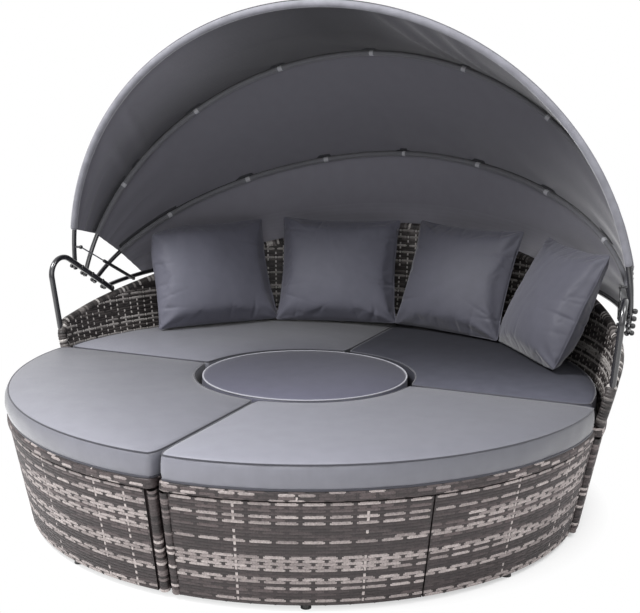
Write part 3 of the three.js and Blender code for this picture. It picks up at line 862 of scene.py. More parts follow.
@dataclass(frozen=True)
class Skirts:
    """The woven walls, posts, rail and glides of one unit."""

    unit: Unit
    feet: tuple[float, ...]
    panels: tuple[str, ...]
    rail_weave: Weave = Weave(
        9.2 * MM,
        24 * MM,
        1.7 * MM,
        light_share=0.26,
        middle_share=0.45,
        stake_share=0.05,
        light_rows=(),
        block=1,
        seed=11,
    )
    rail_gap: float = 3.2 * MM
    rail_fillet: float = 14 * MM
    rail_power: float = 0.42
    post_radius: float = 14 * MM
    panel_seam: float = 4 * MM
    glide_radius: float = 14 * MM
    glide_taper: float = 0.86
    glide_ease: float = 1.2 * MM

    @property
    def height(self) -> float:
        """Height of the woven walls."""
        return SKIRT_TOP - SKIRT_FOOT - self.rail_gap

    def wall(self, node: str, surface: Surface, length: float, seed: int) -> None:
        """A woven wall for a CAD node, over a surface of a length, with strands picked by a seed."""
        mesh = woven_mesh(f"{node}_weave", surface, (length, self.height), Weave(seed=seed), self.unit.skin)
        shown(mesh, Wear.RESIN, self.unit.body, node)

    def panel(self, node: str, start: float, end: float, seed: int) -> None:
        """One flared outer wall.

        Args:
            node: the CAD node that it stands for.
            start: turn of its first edge.
            end: turn of its last edge.
            seed: picks its strands.
        """
        middle = self.unit.skirt_radius((SKIRT_FOOT + SKIRT_TOP) / 2)
        slope = math.atan(self.unit.flare)

        def surface(u: Array, v: Array) -> tuple[Array, Array]:
            """The flared face.

            Args:
                u: places along it.
                v: heights on it.

            Returns:
                Points and outward normals.
            """
            turn, height = start + u / middle, SKIRT_FOOT + v
            normal = (polar(1, turn, 0) - CENTRE) * math.cos(slope) - np.array([0, 0, math.sin(slope)])
            return polar(self.unit.skirt_radius(height), turn, height), normal

        self.wall(node, surface, (end - start) * middle, seed)

    def outer_walls(self) -> None:
        """The one or two panels round the outside."""
        unit = self.unit
        if not unit.inner:
            self.panel(self.panels[0], 0, ROUND - 1e-4, 31)
            return
        clear = math.asin((unit.seam + 2 * self.post_radius + 0.3 * MM) / unit.foot)
        middle = unit.start + unit.sweep / 2
        gap = self.panel_seam / 2 / unit.foot
        self.panel(self.panels[0], unit.start + clear, middle - gap, 13)
        self.panel(self.panels[1], middle + gap, unit.start + unit.sweep - clear, 29)

    def inner_wall(self) -> None:
        """The straight sides, which widen to the top, and the hollow that takes the table."""
        unit = self.unit
        outer, end = unit.foot - 2 * self.post_radius, unit.start + unit.sweep
        along = np.linspace(outer, unit.inner, 40)
        inset = np.arcsin(unit.seam / along)
        hollow = polar(unit.inner, np.linspace(unit.start, end, 80)[1:-1], 0)
        sides = polar(along, unit.start + inset, 0), polar(along, end - inset, 0)
        path = Path(np.concatenate([sides[0], hollow, sides[1][::-1]]))

        def surface(u: Array, v: Array) -> tuple[Array, Array]:
            """The face along the path.

            Args:
                u: places along it.
                v: heights on it.

            Returns:
                Points and outward normals.
            """
            share, step = u / path.length, 0.5 * MM / path.length
            heading = path.at(np.clip(share + step, 0, 1)) - path.at(np.clip(share - step, 0, 1))
            spot = path.at(share)
            away = np.linalg.norm(spot - CENTRE, axis=-1)
            reach = np.clip((away - unit.inner) / (outer - unit.inner), 0, 1) * unit.flare * v
            spot += polar(reach, np.where(share < 0.5, unit.start, end), SKIRT_FOOT + v) - CENTRE
            return spot, -beside(heading)

        self.wall(f"{unit.name}_inner_wall", surface, path.length, 43)

    def posts(self) -> None:
        """The wound posts at the outer corners."""
        unit = self.unit
        heights = np.linspace(SKIRT_FOOT, SKIRT_FOOT + self.height, 12)
        radius = unit.skirt_radius(heights) - self.post_radius
        inset = np.arcsin((unit.seam + self.post_radius) / radius)
        for k, turn in enumerate((unit.start + inset, unit.start + unit.sweep - inset)):
            path = Path(polar(radius, turn, heights))
            mesh = Wrap(seed=50 + k).mesh(f"{unit.name}_corner_post_{k + 1}", path, self.post_radius)
            shown(mesh, Wear.RESIN, unit.body)

    def rail(self) -> None:
        """The woven rail round the top."""
        unit, weave = self.unit, self.rail_weave
        half_width, half_height = unit.rail_width / 2, (DECK_TOP - SKIRT_TOP) / 2
        line = Path(closed(unit.outline(half_width, self.rail_fillet)))
        turn = np.linspace(0, ROUND, 400, endpoint=False)
        wide, high = (np.sign(part) * np.abs(part) ** self.rail_power for part in (np.cos(turn), np.sin(turn)))
        section = Path(closed(np.stack([wide * half_width, high * half_height, np.zeros_like(turn)], axis=-1)))
        along, stake = weave.columns(line.length)
        around, pitch = weave.rows(section.length)
        u, w = np.meshgrid(along[:-1], around[:-1], indexing="ij")
        share = u / line.length
        heading = line.at(np.mod(share + 0.001, 1)) - line.at(np.mod(share - 0.001, 1))
        place = section.at(w / section.length)
        shrink = 1 - (weave.relief - weave.lift(u, w, stake, pitch)) / half_width
        points = line.at(share) + beside(heading) * (place[..., 0] * shrink)[..., None]
        points[..., 2] = (DECK_TOP + SKIRT_TOP) / 2 + place[..., 1] * shrink
        node = f"{unit.name}_rail"
        tones = weave.tone(along, around, stake, pitch)
        shown(grid_mesh(f"{node}_weave", points, closed_along=True, tones=tones), Wear.RESIN, unit.body, node)

    def glides(self) -> None:
        """The round glides that the unit stands on."""
        unit = self.unit
        body = bmesh.new()
        radius = unit.skirt_radius(SKIRT_FOOT) - (24 * MM if unit.inner else 14 * MM + unit.skin)
        for bearing in self.feet:
            spot = polar(radius, unit.start + math.radians(bearing), SKIRT_FOOT / 2)
            made = bmesh.ops.create_cone(
                body,
                cap_ends=True,
                segments=32,
                radius1=self.glide_radius,
                radius2=self.glide_radius * self.glide_taper,
                depth=SKIRT_FOOT,
                matrix=Matrix.Translation(Vector(spot)),
            )
            edges = {e for v in made["verts"] for e in v.link_edges if e.calc_face_angle(0) > 0.7}
            ease = {"offset": self.glide_ease, "segments": 2, "profile": 0.5, "material": -1}
            bmesh.ops.bevel(body, geom=list(edges), affect="EDGES", **ease)
        shown(finished(body, f"{unit.name}_glides"), Wear.PLASTIC, unit.body)

    def build(self) -> None:
        """Builds every woven piece of the unit."""
        self.outer_walls()
        if self.unit.inner:
            self.inner_wall()
            self.posts()
        self.rail()
        self.glides()


@dataclass(frozen=True)
class Wave:
    """Soft waves that lie over a stuffed piece."""

    height: float
    spread: float
    seed: int

    def at(self, points: Array) -> Array:
        """Lift of the waves at some points.

        Args:
            points: points, one per row.

        Returns:
            The lift of each.
        """
        rng = np.random.default_rng(self.seed)
        total = np.zeros(len(points))
        for octave in range(5):
            size = self.spread / 1.7**octave
            for _ in range(3):
                direction = normalised(rng.normal(size=3) * np.array([1, 1, 0.5]))
                total += np.sin(points @ direction * ROUND / size + rng.random() * 7) / 2**octave
        return self.height * total / 4


def paint_light_and_shade(mesh: Mesh, shade: Sequence[float], side: Number = 1.0) -> None:
    """Writes painted light and shade into the tone of a cover's cloth, lighter or darker with place.

    Args:
        mesh: the cover.
        shade: change of tone at the middle, and per metre to the right and to the rear.
        side: factor on each face's tone, which paints shade on the side bands.
    """
    spots = np.array([p.center for p in mesh.polygons]) - CENTRE
    fall = shade[0] + shade[1] * spots[:, 0] + shade[2] * spots[:, 1]
    set_tones(mesh, side * np.exp(np.clip(fall, -1.2, 0.4)))


def rumpled(body: bmesh.types.BMesh, lift: Callable[[Array, Array], Array]) -> bmesh.types.BMesh:
    """Moves a body's surface along its normals.

    Args:
        body: the body.
        lift: how far each vertex moves, for places and upward parts of normals.

    Returns:
        The body.
    """
    body.normal_update()
    spots, normals = spots_of(body.verts), np.array([v.normal for v in body.verts])
    put(body.verts, spots + normals * lift(spots, normals[:, 2])[:, None])
    return body


@dataclass(frozen=True)
class SectorCushion:
    """Seat cushion in the plan of a ring sector, boxed and piped."""

    node: str
    body: str
    start: float
    outer: float
    far_bulge: float
    wear: Wear
    shade: tuple[float, float, float]
    seed: int
    inner: float
    sweep: float = QUARTER
    thickness: float = 65 * MM
    crown: float = 14 * MM
    bulge: float = 4 * MM
    seam: float = 2 * MM
    draw: float = 4 * MM
    corner_share: float = 0.022
    # The bottom cord is the thicker, so its dark widens the painted shadow between cushion and rail.
    cords: tuple[float, float] = (3.4 * MM, 2.4 * MM)

    COLUMNS, ROWS, LAYERS = 88, 56, 8
    # Painted shade on the side bands: their tone runs from 0.52 at the left to 0.78 towards the right.
    SIDE_SHADES = ((-0.9, -0.2), (0.52, 0.78))

    def place(self, s: Array, t: Array, h: Array) -> Array:
        """Point of the cushion for shares across, out and up.

        Args:
            s: share of the sweep.
            t: share of the way out from the centre.
            h: share of the thickness.

        Returns:
            The points.
        """
        a, b = 2 * s - 1, 2 * t - 1
        pull = self.corner_share * (a * b) ** 12
        s, t = (a * (1 - pull) + 1) / 2, (b * (1 - pull) + 1) / 2
        swell = np.sin(math.pi * h) ** 0.7
        belly = self.bulge * swell
        far = (self.bulge + (self.far_bulge - self.bulge) * (1 - s)) * swell
        draw = self.draw * (1 - a**2)
        radius = self.inner - belly + t * (self.outer - self.inner + belly + far) - t * draw
        inset = np.arcsin((self.seam + self.bulge - belly) / radius)
        turn = self.start + inset + s * (self.sweep - 2 * inset)
        lift = np.where(h >= 1, self.crown * (1 - np.abs(a) ** 5) * (1 - np.abs(b) ** 5), 0)
        return polar(radius, turn, CUSHION_BOTTOM + h * self.thickness + lift)

    def lift(self, spots: Array, upward: Array) -> Array:
        """Waves on the top and, finer ones, on the sides.

        Args:
            spots: points of the cover.
            upward: upward part of the normals.

        Returns:
            The lift of each point.
        """
        side = np.abs(upward) < 0.2
        lift = Wave(1.5 * MM, 0.42, self.seed).at(spots) * (upward > 0.9)
        lift[side] = Wave(1.7 * MM, 0.16, self.seed + 1).at(spots[side] * np.array([1, 1, 3]))
        return lift

    def build(self) -> None:
        """Builds the cushion and its two rows of piping."""
        body = bmesh.new()
        ends = ((2, self.COLUMNS, self.ROWS), (1, self.COLUMNS, self.LAYERS), (0, self.ROWS, self.LAYERS))
        for axis, across, up in ends:
            for level in (1, 0) if axis else (0, 1):
                verts = bmesh.ops.create_grid(body, x_segments=across, y_segments=up, size=0.5)["verts"]
                put(verts, self.place(*np.insert(spots_of(verts)[:, :2] + 0.5, axis, level, axis=1).T))
        mesh = finished(rumpled(welded(body, 0.05 * MM), self.lift), f"{self.node}_cover")
        # Painted light and shade on the cover: a gradient over it, and darker side bands.
        right = np.array([p.center.x for p in mesh.polygons])
        upright = np.array([abs(p.normal.z) < 0.6 for p in mesh.polygons])
        paint_light_and_shade(mesh, self.shade, np.where(upright, np.interp(right, *self.SIDE_SHADES), 1.0))
        shown(mesh, self.wear, self.body, self.node)
        long, short = (np.linspace(0, 1, count, endpoint=False) for count in (120, 70))
        s = np.concatenate([long, short * 0 + 1, 1 - long, short * 0])
        t = np.concatenate([long * 0, short, long * 0 + 1, 1 - short])
        for level, word in ((1, "top"), (0, "bottom")):
            loop = self.place(s, t, s * 0 + level * 0.999999)
            loop[:, 2] += (0.5 - level) * 1.6 * MM
            piping(f"{self.node}_piping_{word}", loop, self.cords[level], Wear.SHADOWED_PIPING, self.body)


@dataclass(frozen=True)
class TableCushion:
    """Round cushion on the centre table."""

    body: str
    radius: float = 320 * MM
    thickness: float = 65 * MM
    crown: float = 14 * MM
    bulge: float = 4 * MM
    cord: float = 2.6 * MM
    # Painted shade on the cover: darker overall and towards the rear, lighter to the right.
    shade: tuple[float, float, float] = (-0.4, 0.5, -1.7)

    def lift(self, spots: Array, upward: Array) -> Array:
        """Waves everywhere but below, for points and upward parts of normals."""
        return Wave(1.3 * MM, 0.3, 77).at(spots) * (upward > -0.5)

    def build(self) -> None:
        """Builds the cushion and its piping."""
        rim, top = self.radius - self.bulge, CUSHION_BOTTOM + self.thickness
        below = [(r * rim, 0, CUSHION_BOTTOM) for r in np.linspace(0, 1, 14)]
        side = [
            (rim + self.bulge * math.sin(math.pi * h) ** 0.7, 0, CUSHION_BOTTOM + h * self.thickness)
            for h in np.linspace(0, 1, 10)[1:-1]
        ]
        above = [(r * rim, 0, top + self.crown * (1 - r**5)) for r in np.linspace(1, 0, 30)]
        body = turned(below + side + above, (0, 0, 1), 120, 0.02 * MM)
        bmesh.ops.translate(body, verts=body.verts, vec=(0, CENTRE_Y, 0))
        mesh = finished(rumpled(body, self.lift), "table_cushion_cover")
        paint_light_and_shade(mesh, self.shade)
        shown(mesh, Wear.TABLE_SEAT, self.body, "table_cushion")
        for word, height in (("top", top - 0.8 * MM), ("bottom", CUSHION_BOTTOM + 0.8 * MM)):
            loop = polar(rim, np.linspace(0, ROUND, 200, endpoint=False), height)
            piping(f"table_cushion_piping_{word}", loop, self.cord, Wear.LIGHT_PIPING, self.body)


@dataclass(frozen=True)
class ThrowPillow:
    """Square stuffed pillow that leans on the back."""

    node: str
    radius: float
    bearing: float
    lean: float
    lift: float
    sag: float
    ridge: float
    folded: float
    size: float
    tucked: float
    # Painted light and shade over the whole cover, as a log factor on its tone.
    shade: float
    seed: int
    height: float = 417 * MM
    thickness: float = 140 * MM
    stand: float = 79 * MM
    draw: float = 0.055
    swell: float = 12 * MM
    cord: float = 1.7 * MM
    grain: float = 6.5 * MM

    CELLS = 64
    FRAMES = 20
    CLOTH = {
        "quality": 5,
        "mass": 0.3,
        "tension_stiffness": 15,
        "compression_stiffness": 15,
        "shear_stiffness": 5,
        "bending_stiffness": 0.4,
        "use_pressure": True,
        "uniform_pressure_force": 4.5,
    }

    def outline(self, u: Array, v: Array) -> tuple[Array, Array]:
        """Flat place of the cover, with drawn-in sides and soft corners.

        Args:
            u: share across, from -1 to 1.
            v: share up, from -1 to 1.

        Returns:
            Width and height from the middle.
        """
        corner = 1 - 0.015 * (np.abs(u) * np.abs(v)) ** 7
        x = self.size / 2 * u * (1 - self.draw * (1 - v * v)) * corner
        draw = np.where(v > 0, self.draw, self.draw * 0.3)
        z = self.height / 2 * v * (1 - draw * (1 - u * u)) * corner
        tip = (np.clip(-u - 0.2, 0, 1) * np.clip(v - 0.2, 0, 1) / 0.64) ** 1.4
        foot = (np.clip(u - 0.3, 0, 1) * np.clip(-v - 0.3, 0, 1) / 0.49) ** 1.4
        x += self.folded * tip - self.tucked * foot
        return x, z - 1.4 * self.folded * tip + 0.5 * self.tucked * foot

    def cover(self) -> Mesh:
        """The cover, filled, standing at the origin with its lower edge on zero.

        Returns:
            The cover.
        """
        body = bmesh.new()
        for sign in (1, -1):
            verts = bmesh.ops.create_grid(body, x_segments=self.CELLS, y_segments=self.CELLS, size=1)["verts"]
            u, v = np.sin(spots_of(verts)[:, :2].T * QUARTER)
            x, z = self.outline(u, v)
            across = u + self.ridge * (1 - u**2)
            full = ((1 - across**2) * (1 - v**2)) ** 0.6 * (1 - self.sag * v)
            put(verts, np.column_stack([x, sign * self.thickness * 0.47 * full, z + self.height / 2]))
        return self.filled(finished(welded(body, 0.05 * MM), "sewn_cover"))

    def filled(self, mesh: Mesh) -> Mesh:
        """Lets the cover swell as cloth under pressure.

        Args:
            mesh: the sewn cover.

        Returns:
            The swollen cover.
        """
        scene = bpy.context.scene
        piece = bpy.data.objects.new("cover_in_work", mesh)
        scene.collection.objects.link(piece)
        remesh = piece.modifiers.new("even", "REMESH")
        remesh.mode, remesh.voxel_size = "VOXEL", self.grain
        even = self.result(piece)
        piece.modifiers.clear()
        piece.data = even
        before = spots_of(even.vertices)
        cloth = piece.modifiers.new("cloth", "CLOTH")
        for key, value in self.CLOTH.items():
            setattr(cloth.settings, key, value)
        cloth.settings.effector_weights.gravity = 0
        cloth.collision_settings.use_self_collision = False
        cloth.point_cache.frame_start, cloth.point_cache.frame_end = 1, self.FRAMES
        for number in range(1, self.FRAMES + 1):
            scene.frame_set(number)
        even = self.result(piece)
        scene.frame_set(1)
        bpy.data.objects.remove(piece)
        moved = spots_of(even.vertices) - before
        length = np.maximum(np.linalg.norm(moved, axis=1, keepdims=True), 1e-9)
        moved *= self.swell * np.tanh(length / self.swell) / length
        wave = Wave(2.6 * MM, 0.2, self.seed + 20).at(before) * np.clip(np.abs(before[:, 1]) / (20 * MM), 0, 1)
        moved[:, 1] += (wave + self.folds(before)) * np.sign(before[:, 1])
        even.vertices.foreach_set("co", (before + moved).ravel())
        return even

    def result(self, piece: bpy.types.Object) -> Mesh:
        """A new mesh of a piece with its modifiers applied."""
        bpy.context.view_layer.update()
        return bpy.data.meshes.new_from_object(piece.evaluated_get(bpy.context.evaluated_depsgraph_get()))

    def folds(self, spots: Array) -> Array:
        """Folds that run in from the corners and, shorter ones, from the sides.

        Args:
            spots: points of the cover.

        Returns:
            How far each point moves out of the pillow's plane.
        """
        x, z = spots[:, 0] / (self.size / 2), spots[:, 2] / (self.height / 2) - 1
        left, below = 1 - np.abs(x), 1 - np.abs(z)
        fold = np.sin(np.arctan2(left, below) * 9 + self.seed + 2 * (x > 0) + 3 * (z > 0))
        depth = 3.2 * MM * fold * hill(np.hypot(left, below) - 0.28, 0.2)
        rng = np.random.default_rng(self.seed + 40)
        for along, inward in ((z, 1 - x), (z, 1 + x), (x, 1 - z), (x, 1 + z)):
            for _ in range(4):
                place, slope, reach, deep = rng.uniform((-0.85, -0.5, 0.16, 3), (0.85, 0.5, 0.42, 8))
                line = hill(along - place - slope * inward, 0.02)
                depth -= deep * MM * line * hill(inward, reach) * np.clip(inward * 9, 0, 1)
        return depth

    def seam(self, mesh: Mesh) -> Mesh:
        """The sewn edge round the filled cover.

        Args:
            mesh: the cover.

        Returns:
            A thin cord that follows the cover's edge.
        """
        tree = KDTree(len(mesh.vertices))
        for vert in mesh.vertices:
            tree.insert(vert.co, vert.index)
        tree.balance()
        side, one = np.sin(np.linspace(-1, 1, 60, endpoint=False) * QUARTER), np.ones(60)
        x, z = self.outline(np.concatenate([side, one, -side, -one]), np.concatenate([-one, side, one, -side]))
        loop = np.array([tree.find((a, 0, b + self.height / 2))[0] for a, b in zip(x, z)])
        loop = loop[np.linalg.norm(np.roll(loop, -1, axis=0) - loop, axis=1) > 0.1 * MM]
        loop[:, 1] *= 0.3
        loop = softened(loop, 3)
        loop[:, 0] *= 1.004
        heading = normalised(np.roll(loop, -1, axis=0) - np.roll(loop, 1, axis=0))
        level = np.broadcast_to([0.0, 1.0, 0.0], loop.shape)
        cord = loop[:, None] + self.cord * rings(level, np.cross(heading, level), 8)
        return grid_mesh(f"{self.node}_seam", cord, closed_along=True)

    def build(self) -> None:
        """Fills the cover, stands it on the seat and leans it back."""
        mesh = self.cover()
        mesh.name = f"{self.node}_cover"
        bearing = math.radians(self.bearing)
        spot = polar(self.radius, QUARTER + bearing, CUSHION_BOTTOM + self.stand + self.lift)
        lean = Matrix.Rotation(-math.radians(self.lean), 4, "X")
        place = Matrix.Translation(Vector(spot)) @ Matrix.Rotation(bearing, 4, "Z") @ lean
        seam = self.seam(mesh)
        # Cover and seam both carry the pillow's painted light and shade.
        for part in (seam, mesh):
            part.transform(place)
            paint_light_and_shade(part, (self.shade, 0, 0))
        face_out(mesh)
        shown(seam, Wear.PILLOW, REAR)
        cover = shown(mesh, Wear.PILLOW, REAR, self.node)
        finer = cover.modifiers.new("finer", "SUBSURF")
        finer.levels = finer.render_levels = 1


@dataclass(frozen=True)
class Backrest:
    """Woven wall of the sofa with its wound border."""

    foot: float
    flare: float
    back_height: float = 768 * MM
    arm_height: float = 478 * MM
    wall: float = 30 * MM
    reach: float = 56 * MM
    bow: float = 18 * MM
    border: float = 15 * MM
    post_y: float = 30 * MM
    weave: Weave = Weave(
        8.2 * MM,
        30 * MM,
        stake_half=4.2 * MM,
        middle_share=0.22,
        stake_share=1.0,
        light_rows=(0, 4),
        period=7,
        block=24,
    )

    TOP_SHARES = np.array((0, 0.18, 0.375, 0.565, 0.75, 0.92, 1, 0.92, 0.75, 0.565, 0.375, 0.18, 0))

    def top(self, bearing: Array) -> Array:
        """Height of the wall's top.

        Args:
            bearing: angle from the back, in radians.

        Returns:
            The heights.
        """
        last = len(self.TOP_SHARES) - 1
        place = np.clip((bearing / QUARTER + 1) / 2, 0, 1) * last
        i = np.clip(np.floor(place).astype(int), 0, last - 1)
        t = place - i
        a, b, c, d = (self.TOP_SHARES[np.clip(i + k, 0, last)] for k in (-1, 0, 1, 2))
        curve = b + 0.5 * t * (c - a + t * (2 * a - 5 * b + 4 * c - d + t * (3 * (b - c) + d - a)))
        return self.arm_height + (self.back_height - self.arm_height) * curve

    def outer(self, height: Number) -> Number:
        """Radius of the wall's outer face.

        Args:
            height: heights above the floor.

        Returns:
            The radii.
        """
        share = (height - DECK_TOP) / (self.back_height - DECK_TOP)
        base = self.foot + self.flare * (DECK_TOP - SKIRT_FOOT)
        return base + self.reach * share + 4 * self.bow * share * (1 - share)

    def middle(self, height: Number) -> Number:
        """Radius of the middle of the wall at heights above the floor."""
        return self.outer(height) - self.wall / 2

    def face(self, word: str, sign: int, seed: int, *nodes: str) -> None:
        """One woven face of the wall.

        Args:
            word: names the face.
            sign: 1 for the outer face, -1 for the one towards the seat.
            seed: picks its strands.
            nodes: CAD nodes that it stands for.
        """
        ends = QUARTER - math.asin((self.post_y + self.border * 0.6) / self.middle(DECK_TOP))
        radius = self.middle(0.55)
        size = (2 * ends * radius, self.back_height - DECK_TOP - self.border)

        def surface(u: Array, v: Array) -> tuple[Array, Array]:
            """Points and normals of the face."""
            turn, z = QUARTER - sign * (ends - u / radius), DECK_TOP + v
            return polar(self.outer(z) - self.wall * (sign < 0), turn, z), sign * (polar(1, turn, 0) - CENTRE)

        def crown(u: Array) -> Array:
            """Height of the face's top at places along it."""
            return self.top(sign * (ends - u / radius)) - DECK_TOP - self.border

        mesh = woven_mesh(f"backrest_{word}_weave", surface, size, replace(self.weave, seed=seed), crown=crown)
        shown(mesh, Wear.DARK_RESIN, REAR, *nodes)

    def border_path(self) -> Path:
        """Middle line of the border, from one arm post over the top to the other.

        Returns:
            The line.
        """
        first = QUARTER - math.asin((self.post_y + self.border) / self.middle(self.arm_height)) - 0.01
        bearings = np.linspace(first, -first, 240)
        heights = self.top(bearings) - self.border
        along = polar(self.middle(heights), QUARTER - bearings, heights)
        z = np.linspace(DECK_TOP, self.arm_height - 2.6 * self.border, 12)
        x, y = np.sqrt(self.middle(z) ** 2 - self.post_y**2), np.full_like(z, CENTRE_Y + self.post_y)
        right, left = np.column_stack([x, y, z]), np.column_stack([-x, y, z])[::-1]
        line = Path(np.concatenate([right, along, left])).even(900).points
        for _ in range(10):
            line[1:-1] = (line[:-2] + 2 * line[1:-1] + line[2:]) / 4
        return Path(line)

    def build(self) -> None:
        """Builds both faces and the border."""
        self.face("outer", 1, 61, "backrest_wall")
        self.face("inner", -1, 67)
        wrap = Wrap(pitch=8.4 * MM, seed=71, sides=16, light_share=0.12)
        mesh = wrap.mesh("backrest_border_wound", self.border_path(), self.border)
        shown(mesh, Wear.DARK_RESIN, REAR, "backrest_border")


@dataclass(frozen=True)
class Bow:
    """One bow of the canopy: half a superellipse that turns about its pivots."""

    node: str
    body: str
    height: float
    exponent: float
    angle: float
    start: float
    over: float
    half_width: float
    pivot: Array
    radius: float = 8 * MM
    lug: float = 12 * MM

    @property
    def along(self) -> Array:
        """Direction from the pivots to the top, at rest."""
        turn = math.radians(self.angle)
        return np.array([0, math.cos(turn), math.sin(turn)])

    @property
    def normal(self) -> Array:
        """Normal of the bow's plane, at rest."""
        turn = math.radians(self.angle)
        return np.array([0, -math.sin(turn), math.cos(turn)])

    def point(self, turn: Number, out: float = 0) -> Array:
        """Points of the bow, moved out by a clearance.

        Args:
            turn: from 0 at the right pivot to pi at the left one.
            out: how far out from the tube's middle line.

        Returns:
            The points.
        """
        power = 2 / self.exponent
        c, s = np.cos(turn), np.clip(np.sin(turn), 0, 1)
        x = self.half_width * np.sign(c) * np.abs(c) ** power
        up = self.height * s**power
        nx = np.sign(c) * np.abs(x / self.half_width) ** (self.exponent - 1) / self.half_width
        ny = (up / self.height) ** (self.exponent - 1) / self.height
        size = np.maximum(np.hypot(nx, ny), 1e-12)
        x, up = x + out * nx / size, up + out * ny / size
        return x[..., None] * np.array([1, 0, 0]) + self.pivot + up[..., None] * self.along

    def turn_at(self, reach: float) -> float:
        """Turn at which the bow is a given distance from its pivots."""
        return math.asin((reach / self.height) ** (self.exponent / 2))

    def turns(self, reach: float, count: int) -> Array:
        """Even turns between the two places at a distance from the pivots."""
        first = self.turn_at(reach)
        return np.linspace(first, math.pi - first, count)

    def build(self) -> None:
        """Builds the tube, with its ends past the pivots."""
        points = self.point(np.linspace(0, math.pi, 720))
        tail = -self.lug * self.along
        path = Path(np.vstack([points[:1] + tail, points, points[-1:] + tail])).even(700)
        shown(path.mesh(f"{self.node}_tube", self.radius, 240), Wear.STEEL, self.body, self.node)

    def straps(self, turns: Sequence[float]) -> None:
        """Cloth straps that tie the canopy to the bow.

        Args:
            turns: where they are, in degrees.
        """
        half = 9 * MM / self.height
        for k, middle in enumerate(np.radians(turns)):
            line = Path(self.point(np.linspace(middle - half, middle + half, 9)))
            mesh = line.mesh(f"{self.node}_strap_{k + 1}", self.radius + 1.6 * MM, 6)
            shown(mesh, Wear.STRAP, self.body)


@dataclass(frozen=True)
class CanopyPanel:
    """Half of a cloth panel between two bows, which folds flat towards its own bow."""

    name: str
    own: Bow
    other: Bow
    hem: float
    nodes: tuple[str, ...]
    pulls: tuple[float, ...]
    folds: tuple[tuple[float, float], ...]
    # Painted light and shade on the inside faces, listed at the own bow and at the panel's middle.
    inside: tuple[tuple[float, ...], ...]
    sag: float = 14 * MM
    thickness: float = 2.2 * MM
    keep: float = 0.1
    pull: float = 4 * MM
    fold: float = 9 * MM

    COLUMNS, ROWS = 150, 14
    INSIDE_SHARES = (0, 0.3, 0.4, 0.46, 0.52, 0.62, 0.72, 1)
    RIDGES = ((-0.9, 0.8), (0.15, 1.0), (1.1, 0.7))

    def points(self) -> Array:
        """Outer face of the cloth.

        Returns:
            Array of steps along the bow, by steps from it to the panel's middle, by 3.
        """
        own, other = self.own, self.other
        out = own.radius + self.thickness
        first, last = (b.point(b.turns(b.start, self.COLUMNS)[:, None], out + b.over) for b in (own, other))
        back = self.hem / np.linalg.norm(first - last, axis=-1)
        s = np.linspace(0, 1, self.COLUMNS)[:, None]
        share = np.linspace(0, 1, self.ROWS) * (0.5 + back) - back
        spots = first + (last - first) * share[..., None]
        inward = normalised((own.pivot + other.pivot) / 2 - spots)
        drop = self.sag * np.sin(math.pi * np.clip(share, 0, 1)) * np.sin(math.pi * s)
        return spots + inward * (drop + self.crease(s, share))[..., None]

    def crease(self, s: Array, share: Array) -> Array:
        """Pulls in the cloth that run out from the bow's ends and straps, and its long folds.

        Args:
            s: share along the bow.
            share: share of the way to the other bow.

        Returns:
            The depth of the pulls.
        """
        fan = np.sin(share * 21 + 9 * s) * hill(np.minimum(s, 1 - s), 0.16)
        long = np.sin(share * math.pi * 3 + 5 * np.sin(s * 7))
        depth = 1.6 * MM * fan + 0.8 * MM * long * np.clip(share * 6, 0, 1)
        fade = self.pull * np.exp(-share / 0.16) * np.clip(share * 30, 0, 1)
        for place in self.pulls:
            for side, weight in self.RIDGES:
                depth = depth - weight * fade * hill(s - place - side * share * 0.16, 0.004 + 0.05 * share)
        reach = np.clip(share, 0, 1)
        for near_end, far_end in self.folds:
            line = near_end + (far_end - near_end) * reach
            depth = depth + self.fold * hill(s - line, 0.008) * np.sin(math.pi * reach) ** 0.6
        return depth

    def tones(self) -> Array:
        """Tone of each face, with painted light and shade on the inside faces.

        Returns:
            Array of columns by twice the rows.
        """
        s = np.linspace(0, 1, self.COLUMNS)
        spread = [np.broadcast_to(part, len(self.INSIDE_SHARES)) for part in self.inside]
        own, middle = (np.interp(s, self.INSIDE_SHARES, part) for part in spread)
        tones = np.ones((self.COLUMNS, 2 * self.ROWS))
        tones[:, self.ROWS - 1 :] = np.linspace(middle, own, self.ROWS + 1, axis=1)
        return tones

    def build(self) -> None:
        """Builds the half panel as a closed thin sheet."""
        own, outer = self.own, self.points()
        normal = normalised(np.cross(np.gradient(outer, axis=0), np.gradient(outer, axis=1)))
        if (normal * (outer - own.pivot)).sum() < 0:
            normal = -normal
        whole = np.concatenate([outer, (outer - normal * self.thickness)[:, ::-1]], axis=1)
        mesh = grid_mesh(self.name, whole, capped=True, tones=self.tones())
        length = Path(outer[:, self.ROWS // 2]).length
        piece = shown(mesh, Wear.CANOPY, own.body, *self.nodes)
        mesh.set_sharp_from_angle(angle=QUARTER / 2)
        tuple(own.pivot)
        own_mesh(piece)


